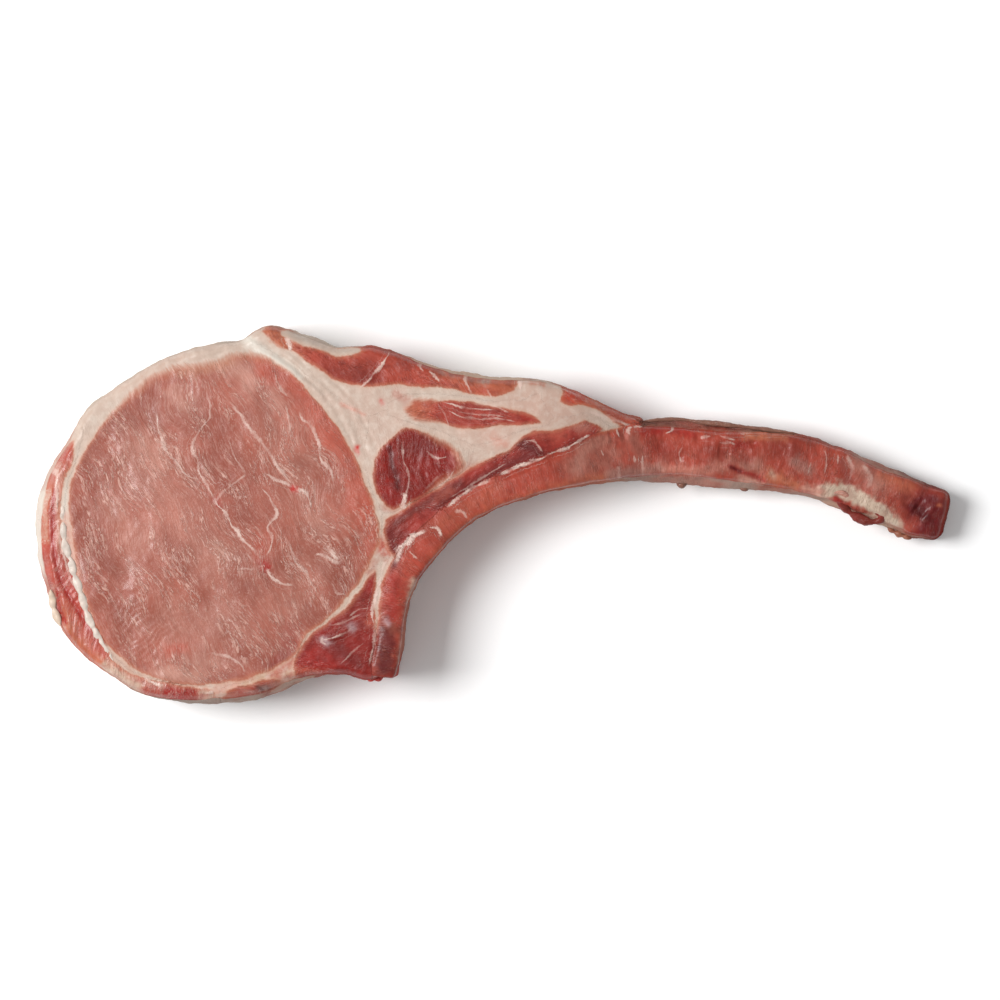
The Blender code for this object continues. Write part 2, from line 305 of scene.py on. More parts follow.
def relaxed(values, links, weight, moving, rounds):
    # each moving point is drawn to the mean of the points it is linked to
    values = values.copy()
    both = np.concatenate([links, links[:, ::-1]])
    count = np.maximum(np.bincount(both[:, 0], minlength=len(values)), 1)
    for _ in range(rounds):
        mean = np.column_stack([np.bincount(both[:, 0], v[both[:, 1]], minlength=len(values)) / count
                                for v in values.T])
        values[moving] += weight * (mean - values)[moving]
    return values


def cleanLabels(labels, triangles, count):
    # a label has no spikes, islands or corners where it only touches itself
    edges = edgesOf(triangles)
    owner = np.tile(np.arange(len(triangles)), 3)
    _, index = np.unique(np.sort(edges, 1), axis=0, return_inverse=True)
    order = np.argsort(index.reshape(-1), kind="stable")
    same = index.reshape(-1)[order]
    pairs = np.flatnonzero(same[1:] == same[:-1])
    pairs = np.stack([owner[order[pairs]], owner[order[pairs + 1]]], 1)
    around = [[] for _ in triangles]
    for a, b in pairs.tolist():
        around[a].append(b)
        around[b].append(a)
    fans = [[] for _ in range(count)]
    for triangle, corners in enumerate(triangles.tolist()):
        for corner in corners:
            fans[corner].append(triangle)
    labels = labels.tolist()

    def groups(members):
        members, found = set(members), []
        while members:
            stack, group = [members.pop()], []
            while stack:
                here = stack.pop()
                group.append(here)
                for there in around[here]:
                    if there in members and labels[there] == labels[here]:
                        members.discard(there)
                        stack.append(there)
            found.append(group)
        return found

    for _ in range(surfaceSizes["labelRounds"]):
        changed = 0
        for triangle, near in enumerate(around):
            others = [labels[n] for n in near]
            if others.count(labels[triangle]) * 2 < len(others):
                best = max(set(others), key=others.count)
                if others.count(best) > others.count(labels[triangle]):
                    labels[triangle] = best
                    changed += 1
        for fan in fans:
            if len({labels[t] for t in fan}) < 2:
                continue
            runs = groups(fan)
            kinds = [labels[run[0]] for run in runs]
            for run, kind in sorted(zip(runs, kinds), key=lambda pair: len(pair[0])):
                if kinds.count(kind) > 1:
                    outside = [labels[n] for t in run for n in around[t] if labels[n] != kind]
                    for t in run:
                        labels[t] = max(set(outside), key=outside.count)
                    changed += 1
                    break
        whole = groups(range(len(triangles)))
        largest = {}
        for group in whole:
            kind = labels[group[0]]
            if kind not in largest or len(group) > len(largest[kind]):
                largest[kind] = group
        for group in whole:
            kind = labels[group[0]]
            if group is not largest[kind]:
                outside = [labels[n] for t in group for n in around[t] if labels[n] != kind]
                for t in group:
                    labels[t] = max(set(outside), key=outside.count)
                changed += 1
        if not changed:
            break
    return np.array(labels), pairs


def buildCutFace():
    places = latticePlaces(wholeLow[:2] - 1, wholeHigh[:2] + 1, surfaceSizes["spacing"])
    shape = places.shape[:2]
    depth, nearest = signedDistances(places.reshape(-1, 2))
    mask = coveredPlaces(depth, nearest).reshape(shape)
    for _ in range(surfaceSizes["maskRounds"]):
        mask |= fullNeighbours(mask) >= 4
        mask &= fullNeighbours(mask) >= 3
    while True:
        index = np.where(mask, np.cumsum(mask).reshape(shape) - 1, -1)
        triangles = latticeTriangles(index)
        edges = openEdges(triangles)
        pinched = np.flatnonzero(np.bincount(edges[:, 0], minlength=mask.sum()) > 1)
        loops = sorted(chained(edges), key=len) if not len(pinched) else []
        small = [loop for loop in loops[:-1] if len(loop) < surfaceSizes["island"]]
        drop = list(pinched) + [p for loop in small for p in loop]
        if not drop:
            break
        flatMask = mask.reshape(-1)
        flatMask[np.flatnonzero(flatMask)[drop]] = False
    if len(loops) > 1:
        print("the cut face has", len(loops) - 1, "holes")
    used = np.unique(triangles)
    renumber = np.full(mask.sum(), -1)
    renumber[used] = np.arange(len(used))
    chosen = np.flatnonzero(mask.reshape(-1))[used]
    triangles = renumber[triangles]
    rim = renumber[np.array(loops[-1])]
    xy, depth = places.reshape(-1, 2)[chosen], depth[chosen]
    labels = depth[triangles].mean(1).argmax(1)
    labels, pairs = cleanLabels(labels, triangles, len(xy))
    return xy, depth, triangles, rim, labels, pairs


xy, depth, triangles, rim, labels, pairs = buildCutFace()
links = meshLinks(triangles)
print("cut face:", len(xy), "points,", len(triangles), "triangles, rim of", len(rim))

split = pairs[labels[pairs[:, 0]] != labels[pairs[:, 1]]]  # pairs of triangles on two sides of a border
borderEdges = np.array([sorted(set(triangles[a]) & set(triangles[b])) for a, b in split])
onRim = np.zeros(len(xy), bool)
onRim[rim] = True
ends = np.bincount(borderEdges.reshape(-1), minlength=len(xy))
rimLinks = np.column_stack([rim, np.roll(rim, -1)])
xy = relaxed(xy, rimLinks, 0.5, onRim, 6)
xy = relaxed(xy, borderEdges, 0.5, (ends == 2) & ~onRim, 5)
everywhere = np.ones(len(xy), bool)
nearBorder = relaxed((ends + onRim > 0)[:, None].astype(float), links, 1, everywhere, 2)[:, 0] > 0.02
xy = relaxed(xy, links, 0.5, nearBorder & ~onRim & (ends == 0), 4)
moved = nearBorder | onRim
depth[moved] = signedDistances(xy[moved])[0]

# height of the face: found on the solids, and carried across the slits between them
everyPoint, everyFace, everyTop, base = [], [], [], 0
for name, (points, faces) in solids.items():
    everyPoint.append(points)
    everyFace.append(faces + base)
    everyTop.append(topFaces[name] + base)
    base += len(points)
everyPoint = np.concatenate(everyPoint)
allSides = BVHTree.FromPolygons(everyPoint.tolist(), np.concatenate(everyFace).tolist())
allTops = BVHTree.FromPolygons(everyPoint.tolist(), np.concatenate(everyTop).tolist())
faceZ = np.array([hit.z if hit else np.nan for hit in
                  (allTops.ray_cast(Vector((x, y, surfaceSizes["above"])), down)[0] for x, y in xy)])
missing = np.isnan(faceZ)
faceZ[missing] = faceZ[~missing].mean()


def totalOfLinked(values):
    total = np.bincount(links[:, 0], values[links[:, 1]], len(xy))
    return total + np.bincount(links[:, 1], values[links[:, 0]], len(xy))


for _ in range(surfaceSizes["slitRounds"]):
    known = (~missing).astype(float)
    total = totalOfLinked(faceZ * known)
    seen = totalOfLinked(known)
    newly = missing & (seen > 0)
    faceZ[newly] = total[newly] / seen[newly]
    missing = missing & ~newly
    if not missing.any():
        break
faceZ = relaxed(faceZ[:, None], links, 0.6, everywhere, 15)[:, 0]
print("face height found")

rimTree = KDTree(len(rim))
for place, point in enumerate(rim):
    rimTree.insert((*xy[point], 0), place)
rimTree.balance()
rimDistance = np.array([rimTree.find((x, y, 0))[2] for x, y in xy])

# outward direction of each rim point, and the side of the chop below it
rimXy = xy[rim]
run = sum(np.roll(rimXy, -k, 0) - np.roll(rimXy, k, 0) for k in range(1, 9))
run /= np.linalg.norm(run, axis=1)[:, None]
outward = np.column_stack([run[:, 1], -run[:, 0]])


def sideOffsets():
    reach = surfaceSizes["reach"]
    longest = reach + surfaceSizes["beyond"]
    offsets = np.full((len(sideLevels) + 1, len(rim)), np.nan)
    for level, share in enumerate([*sideLevels, surfaceSizes["footShare"]]):
        for place in range(len(rim)):
            x, y = rimXy[place] + outward[place] * reach
            start = Vector((x, y, max(faceZ[rim[place]] * share, 0.1)))
            hit, _, _, distance = allSides.ray_cast(start, Vector((*-outward[place], 0)), longest)
            if hit:
                offsets[level, place] = reach - distance
    offsets[np.isnan(offsets)] = 0
    offsets = np.clip(offsets, surfaceSizes["sideLow"], surfaceSizes["sideHigh"])
    for _ in range(6):
        offsets = (np.roll(offsets, 1, 1) + np.roll(offsets, -1, 1) + 2 * offsets) / 4
    return offsets


offsets = sideOffsets()
print("side found:", len(offsets), "rings")


# What each piece looks like. Paths are in mm from the middle of its solid, or along and across the rib.
# fibreAngle is in degrees from +X, and the fibres of the rib's meat run across it. streaks and glints are
# shares of the most that a material shows; the streaks are pale fibres, partly painted as wet highlights,
# and the glints are painted highlights. The rows hold
#   seams: path, radius, how far the lean reaches out into the fat there
#   dabs: path, radius, shade, strength
#   lines: path, layer, half width, strength, for marbling and seams of fat
#   strokes: path, half width, height
loinEye = {  # the large round muscle
    "slot": "eye_lean", "tone": (175, 97, 80), "fibreAngle": -62, "fibreHeight": 0.035,
    "streaksAndSheen": 1, "glints": 0.5, "lineWidth": 0.95, "linePower": 0.84,
    "seams": [
        ([(-14, -44), (0, -45), (10, -43.5)], 3, 0.3),
        ([(-40, -13), (-36.4, -24), (-31.5, -33)], 3.5, 0.7),
        ([(26, 33), (33, 24)], 4, -0.8),
    ],
    "dabs": [
        ([(-36, 14), (-38, 0), (-35, -14), (-28, -26)], 5, "edgeLean", 0.9),
        ([(13, 41), (22, 35), (31, 23), (38, 8)], 6.5, "warmLean", 1.3),
        ([(0, 41.5), (4, 41), (6.5, 37)], 3.4, "paleLean", 1.1),
        ([(18, -30), (17, -36), (14, -40)], 4, "deepLean", 0.75),
        ([(2, -43), (5, -43)], 2.6, "edgeLean", 0.9),
        ([(-14, 34), (-11, 31)], 3, "paleLean", 0.9),
        ([(13, 34), (15, 31)], 3, "paleLean", 0.7),
        ([(24.6, 0), (26, -3)], 3, "paleLean", 0.7),
        ([(28, 15), (30, 12)], 3, "edgeLean", 0.5),
        ([(-6, 15), (-3, 12)], 3, "edgeLean", 0.6),
        ([(13, 1), (15, -3)], 3, "edgeLean", 0.6),
        ([(13, -14), (16, -20)], 4, "edgeLean", 1.5),
        ([(1, -29), (4, -37)], 4, "edgeLean", 1.5),
        ([(-7, -39), (-3, -39.4)], 3, "paleLean", 0.8),
        ([(-2, -8), (0, -10)], 3, "palePink", 0.6),
        ([(-22, 20), (-18, 15)], 4, "palePink", 0.6),
        ([(-17, -42), (-8, -43.2)], 2.6, "palePink", 0.9),
        ([(38, 4), (40, -8)], 4, "warmLean", 0.8),
        ([(-30, 26), (-18, 37)], 3.4, "edgeLean", 0.7),
        ([(-10, 41), (0, 43)], 3, "tanLean", 0.6),
        ([(-22, 16), (-14, 2), (-4, -14)], 9, "softLean", 0.6),
        ([(-1, 24), (1, 12), (6, 0)], 5, "edgeLean", 0.9),
        ([(-30, 2), (-24, -6)], 5, "paleLean", 0.5),
        ([(16, 24), (24, 6)], 9, "paleLean", 0.3),
        ([(-12, -30), (8, -28), (22, -20)], 9, "softLean", 0.6),
        ([(6, -20), (10, -27), (14, -34)], 3.5, "edgeLean", 0.5),
        ([(24, -28), (32, -18), (34, -8)], 4, "edgeLean", 0.8),
        ([(-16, -6), (-6, -22)], 3, "edgeLean", 0.6),
        ([(10.4, -12), (11.4, -13.2)], 1.3, "bloodRed", 1.3),
        ([(10, -10), (10.5, -6)], 2.4, "warmLean", 0.7),
        ([(18.8, 8), (19.4, 8)], 0.9, "brightRed", 1.4),
        ([(-2.4, 5), (-1.6, 3.8)], 0.9, "bloodRed", 0.9),
        ([(36, 20), (37, 17.5)], 1, "brightRed", 1.5),
        ([(-15, -36), (-11, -35)], 1.6, "warmLean", 0.9),
    ],
    "lines": [
        ([(-3, 6), (0, 1.5), (3, -2.8), (6.5, -7), (9, -9.4), (11.2, -11.4)], 0, 0.42, 0.95),
        ([(-18.6, 29), (-17.6, 23.3), (-16.2, 19.2), (-12.8, 15), (-10.4, 12), (-6.5, 10.4)], 1, 0.36, 0.7),
        ([(-5, 35), (-4, 31.5), (-4, 27), (-6, 24.5), (-8.5, 21), (-7.5, 16), (-6, 10.8),
          (-1.8, 4)], 2, 0.32, 0.6),
        ([(-24, 24.3), (-22, 21.3), (-21, 17.5)], 0, 0.28, 0.45),
        ([(0.8, 21.3), (3, 17), (4.9, 13.8), (6.4, 11.8)], 1, 0.28, 0.45),
        ([(6.5, 12), (1.5, 8.5), (-0.5, 6.5), (-2.5, 4)], 1, 0.3, 0.4),
        ([(11.2, -10.5), (13.1, -7.4), (13.1, -5), (12, -2), (14, 0.5), (14, 2.6), (12, 6),
          (9.6, 8.6)], 2, 0.38, 0.8),
        ([(11.2, -13.5), (12.6, -15.6), (15.6, -17.4), (19, -18.2)], 1, 0.4, 0.85),
        ([(4, -14), (7, -14), (10.5, -13)], 2, 0.3, 0.6),
        ([(6, -9.5), (8.5, -12.5)], 1, 0.3, 0.5),
        ([(1.5, 32.5), (4, 28.5), (7, 24.5), (10.5, 20), (13, 17.2), (15.6, 13), (18.5, 9)], 0, 0.42, 0.65),
        ([(13.5, 39.5), (15, 36), (17.5, 33)], 1, 0.36, 0.6),
        ([(17, 31), (17.5, 26.5), (18, 23.5)], 1, 0.4, 0.5),
        ([(20, 29.5), (21.5, 26.5), (24, 25), (25.5, 21), (26, 17.5), (28.5, 13.5),
          (30, 9.5)], 2, 0.45, 0.75),
        ([(11, 12.5), (13.5, 11), (16.5, 9.5), (19, 8.4)], 1, 0.42, 0.7),
        ([(19.6, 8.4), (22.4, 7), (23.6, 4.8), (23.8, 3)], 2, 0.5, 0.85),
        ([(27.5, -7), (29, -9), (31, -11.5)], 0, 0.62, 0.85),
        ([(24.5, -10), (28, -10.5), (30.5, -12), (32.5, -11.5)], 1, 0.5, 0.75),
        ([(18, -7), (19.5, -11.5), (22.5, -15.5), (25.5, -20.5)], 0, 0.36, 0.55),
        ([(29.5, -17.5), (30.5, -20), (33.5, -21)], 0, 0.3, 0.4),
        ([(-4.5, -36.5), (-1.5, -37.5), (1.5, -38), (4.5, -40), (6, -42)], 0, 0.36, 0.6),
    ],
}
sideMuscle = {  # the red strip round its left and lower edge
    "slot": "pale_lean", "tone": (193, 88, 73), "fibreAngle": 75, "fibreHeight": 0.12,
    "streaksAndSheen": 0.5, "glints": 0.3,
    "seams": [
        ([(-15.5, 0), (-13, -9), (-8.5, -18)], 3, 0.6),
    ],
    "dabs": [
        ([(-20, 30), (-20, 18), (-19, 6)], 1.8, "palePink", 0.9),
        ([(-21.5, 22), (-21.5, 8), (-19, -3), (-13.5, -12.5), (-10, -18.5)], 0.9, "bloodRed", 1.1),
        ([(-16, -2), (-12, -12)], 2, "brightRed", 0.5),
        ([(-19.5, -10.5), (-14, -21.5), (-4, -28.5)], 2.6, "orangeLean", 1),
        ([(-7, -26), (1, -31)], 2, "cream", 0.9),
        ([(-22.2, -5.5), (-21.4, -10), (-19.8, -14.5)], 1.3, "cream", 1.7),
        ([(-20.6, -5), (-19.6, -10), (-18, -14)], 0.6, "bloodRed", 1.1),
        ([(8.5, -32), (12.5, -33.4), (16.5, -32.4)], 1.6, "bloodRed", 1.1),
        ([(4, -29.5), (8, -31)], 1.4, "palePink", 0.9),
        ([(19.5, -32.5), (23, -33)], 1.2, "cream", 1.3),
    ],
    "lines": [
        ([(-19.5, 32), (-20.5, 24), (-20, 16)], 0, 0.5, 0.75),
        ([(-20.5, 14), (-18.8, 6), (-17.5, 0), (-15, -5)], 1, 0.4, 0.7),
        ([(-23.6, 29), (-24.2, 20), (-24.6, 11), (-24, 4)], 0, 1.2, 1.1),
        ([(3, -28.5), (6, -30.4), (9, -31)], 0, 0.4, 0.7),
        ([(18, -31), (20, -33), (22.5, -32.4)], 1, 0.4, 0.8),
    ],
    "strokes": [
        ([(-21.5, 22), (-21.5, 8), (-19, -3), (-13.5, -12.5), (-10, -18.5)], 0.7, -0.3),
        ([(-20.6, -5), (-19.6, -10), (-18, -14)], 0.7, -0.6),
    ],
}
capMuscle = {  # the long muscle at the top edge
    "slot": "red_lean", "tone": (186, 77, 59), "fibreAngle": -38, "fibreHeight": 0.1,
    "streaksAndSheen": 0.35, "glints": 0.15,
    "dabs": [
        ([(-36, 8), (-28, 4)], 3.6, "orangeLean", 1.2),
        ([(-17, -3), (-4, -4)], 4, "darkLean", 0.45),
        ([(16, -2), (26, -6), (34, -7)], 4.5, "orangeLean", 0.8),
        ([(28, -3.5), (35, -5)], 1.6, "duskyLean", 0.9),
        ([(-2, 6), (2, 5)], 1.6, "greyPink", 0.8),
        ([(14.5, -2), (20, -2.6), (26, -4.6)], 1.7, "greySkin", 1.6),
    ],
    "lines": [
        ([(1.6, 4), (0, 1.6), (-2.5, -2), (-6, -6), (-8.5, -8)], 0, 0.34, 0.75),
        ([(-27.8, 6.4), (-27.3, 4.6), (-26.6, 2.6)], 1, 0.7, 1),
        ([(11, -3), (14, -6)], 1, 0.3, 0.5),
        ([(6.5, 0), (9.5, -3)], 1, 0.3, 0.5),
        ([(19.4, -3.6), (21.4, -6.4), (22.8, -9.2)], 1, 0.3, 0.7),
        ([(26.8, -7.8), (28.2, -10.4)], 0, 0.3, 0.6),
        ([(35.4, -4.6), (36, -8)], 0, 0.5, 0.8),
    ],
    "strokes": [
        ([(13, -2.5), (20, -3), (27, -5)], 1.4, -0.5),
        ([(0.5, 2), (-1.5, -0.5), (-4, -4), (-7, -7)], 0.5, 0.2),
    ],
}
innerMuscle = {  # the slanting muscle in the fat
    "slot": "red_lean", "tone": (178, 70, 56), "fibreAngle": -6, "fibreHeight": 0.1,
    "streaksAndSheen": 0.5, "glints": 0.25,
    "seams": [
        ([(-9, 4.6), (-4, 4.8), (1, 4)], 2.5, -0.5),
    ],
    "dabs": [
        ([(-18, 1), (-14, 1)], 2.4, "orangeLean", 0.7),
        ([(-3, 2.5), (2, 2), (8, 0.5)], 1.2, "deepLean", 0.6),
        ([(14, -1.5), (18, -3)], 1.6, "bloodRed", 0.5),
    ],
    "lines": [
        ([(-8.4, 3.4), (-5.5, 2.6), (-2, 1.6), (2, 1.4), (6, 1)], 0, 0.26, 0.6),
        ([(-7, 1), (-3, -0.6), (1, -1.2), (6.5, -1.2), (12, -2)], 1, 0.24, 0.5),
        ([(-10, 3), (-8, 0.6), (-7, -2), (-6.6, -4)], 0, 0.25, 0.4),
        ([(0, 2.8), (5, 2.4), (10, 0.6)], 1, 0.22, 0.5),
        ([(-4, 0.6), (0, 0), (5, -0.2), (9, -0.8)], 2, 0.22, 0.5),
    ],
}
ovalMuscle = {  # the dark oval muscle beside the eye
    "slot": "red_lean", "tone": (146, 31, 22), "fibreAngle": -78, "fibreHeight": 0.1,
    "streaksAndSheen": 0.45, "glints": 0.3,
    "dabs": [
        ([(-10, 5), (-11, -1), (-8, -7)], 2.4, "bloodRed", 0.45),
        ([(-7.8, 6), (-7.2, 1.5), (-6.2, -2), (-5.6, -5)], 1, "nearBlack", 0.75),
        ([(-2, 6), (4, 6)], 3, "darkLean", 0.5),
        ([(10.5, 4.5), (12, 2)], 1.5, "palePink", 1),
        ([(4, 2), (9, 5)], 2.4, "bloodRed", 0.35),
    ],
    "lines": [
        ([(-4.5, 8), (-4, 3), (-2.6, -2), (-3.4, -8)], 0, 0.28, 0.4),
        ([(1, -7), (3.6, -4), (7, -1)], 1, 0.3, 0.5),
        ([(-4, -11), (-4, -8.4), (-3.4, -6.4)], 1, 0.7, 0.95),
        ([(2, 5), (5, 3), (8, 3.4)], 2, 0.25, 0.5),
        ([(5, -5), (8, -3), (10, 0)], 2, 0.25, 0.4),
    ],
    "strokes": [
        ([(-8, 6), (-7.8, 1), (-6, -4)], 1, -0.35),
    ],
}
ribMuscle = {  # the dark strip that follows the rib
    "slot": "red_lean", "tone": (176, 62, 52), "fibreAngle": 24, "fibreHeight": 0.1,
    "streaksAndSheen": 0.45, "glints": 0.5,
    "seams": [
        ([(-22, -4), (-14, 1), (-6, 5.4)], 3, 0.6),
    ],
    "dabs": [
        ([(-28, -12), (-27, -17)], 3.5, "darkLean", 0.8),
        ([(-27, -10), (-17, -3.5), (-9, 1)], 1.3, "duskyLean", 0.8),
        ([(-14, -4.5), (0, 4), (10, 9)], 2.2, "darkLean", 0.9),
        ([(1, 11), (7, 12.5), (12, 9.5)], 2, "darkLean", 1.2),
        ([(11, 15), (18, 14.5)], 2, "warmLean", 0.7),
        ([(22, 17.4), (25, 17)], 2.4, "softLean", 0.8),
        ([(-15, -3), (-12, -1)], 1.6, "warmLean", 0.6),
    ],
    "lines": [
        ([(8.6, 12.6), (11, 12.6), (12.2, 11.5), (13.6, 9.8)], 0, 0.22, 0.45),
        ([(-12, -3), (-4, 2), (4, 7)], 1, 0.25, 0.5),
    ],
    "strokes": [
        ([(8.6, 12.6), (12, 11.8), (13.6, 9.8)], 0.6, 0.3),
        ([(-16, -6), (-2, 2), (12, 8), (26, 14)], 0.5, -0.4),
    ],
}
tailMuscle = {  # the small red piece where the fat runs out
    "slot": "pale_lean", "tone": (192, 88, 64), "fibreAngle": -22, "fibreHeight": 0.1,
    "streaksAndSheen": 0.4, "glints": 0.15,
    "seams": [
        ([(-8, -1.5), (-4, -3)], 2.5, -0.5),
    ],
    "dabs": [
        ([(-12, 2), (-6, 3)], 3, "brightRed", 0.4),
    ],
    "lines": [
        ([(-4, -2), (2, -4), (8, -6)], 0, 0.5, 0.6),
    ],
}
chineMuscle = {  # the red triangle below the eye
    "slot": "red_lean", "tone": (153, 41, 33), "fibreAngle": 18, "fibreHeight": 0.1,
    "streaksAndSheen": 0.3, "glints": 0.3,
    "seams": [
        ([(-11, -7), (-4, 1.5), (4, 9), (9, 13.5)], 3, 0.3),
    ],
    "dabs": [
        ([(-8, -8), (2, -10)], 4, "bloodRed", 0.6),
        ([(2, 2), (6, 8), (8, 2)], 3, "deepLean", 0.7),
        ([(-1, -4), (4, -9)], 2.6, "darkLean", 0.6),
        # painted highlights: bluish sheen on the wet meat
        ([(4, 0.5), (4.5, 0)], 1.1, "bluePink", 0.9),
        ([(-3.8, -3), (-2.5, -4)], 1.1, "bluePink", 0.9),
        ([(9.5, 3.5), (9, 1.5)], 1.4, "warmLean", 0.9),
        ([(-12.5, -11), (-6, -12), (-1, -12.6)], 1, "warmLean", 0.9),
    ],
    "lines": [
        ([(-4, -3.6), (0, -2.4), (3, -1), (4.2, 0.6)], 1, 0.3, 0.5),
        ([(3.5, 3), (6, 5), (9, 5.6)], 1, 0.25, 0.35),
        ([(1, -10), (4.5, -6.5), (7.5, -4)], 0, 0.22, 0.3),
        ([(-2, 0.5), (3, 2), (7, 4)], 0, 0.25, 0.3),
        ([(-3.9, -2.2), (-3.8, -3.8), (-2.6, -4.4)], 0, 0.3, 0.55),
    ],
    "strokes": [
        ([(11, -1), (10, -7.5), (9, -11)], 0.7, -0.5),
        ([(-4, -3.6), (0, -2.4), (4, 0.5)], 0.6, 0.3),
    ],
}
lowerMuscle = {  # the short strip under the eye
    "slot": "pale_lean", "tone": (165, 80, 66), "fibreAngle": 5, "fibreHeight": 0.1,
    "streaksAndSheen": 0.5, "glints": 0.3,
    "dabs": [
        ([(0.5, 1.5), (5.5, 1.5)], 0.8, "nearBlack", 0.8),
    ],
}
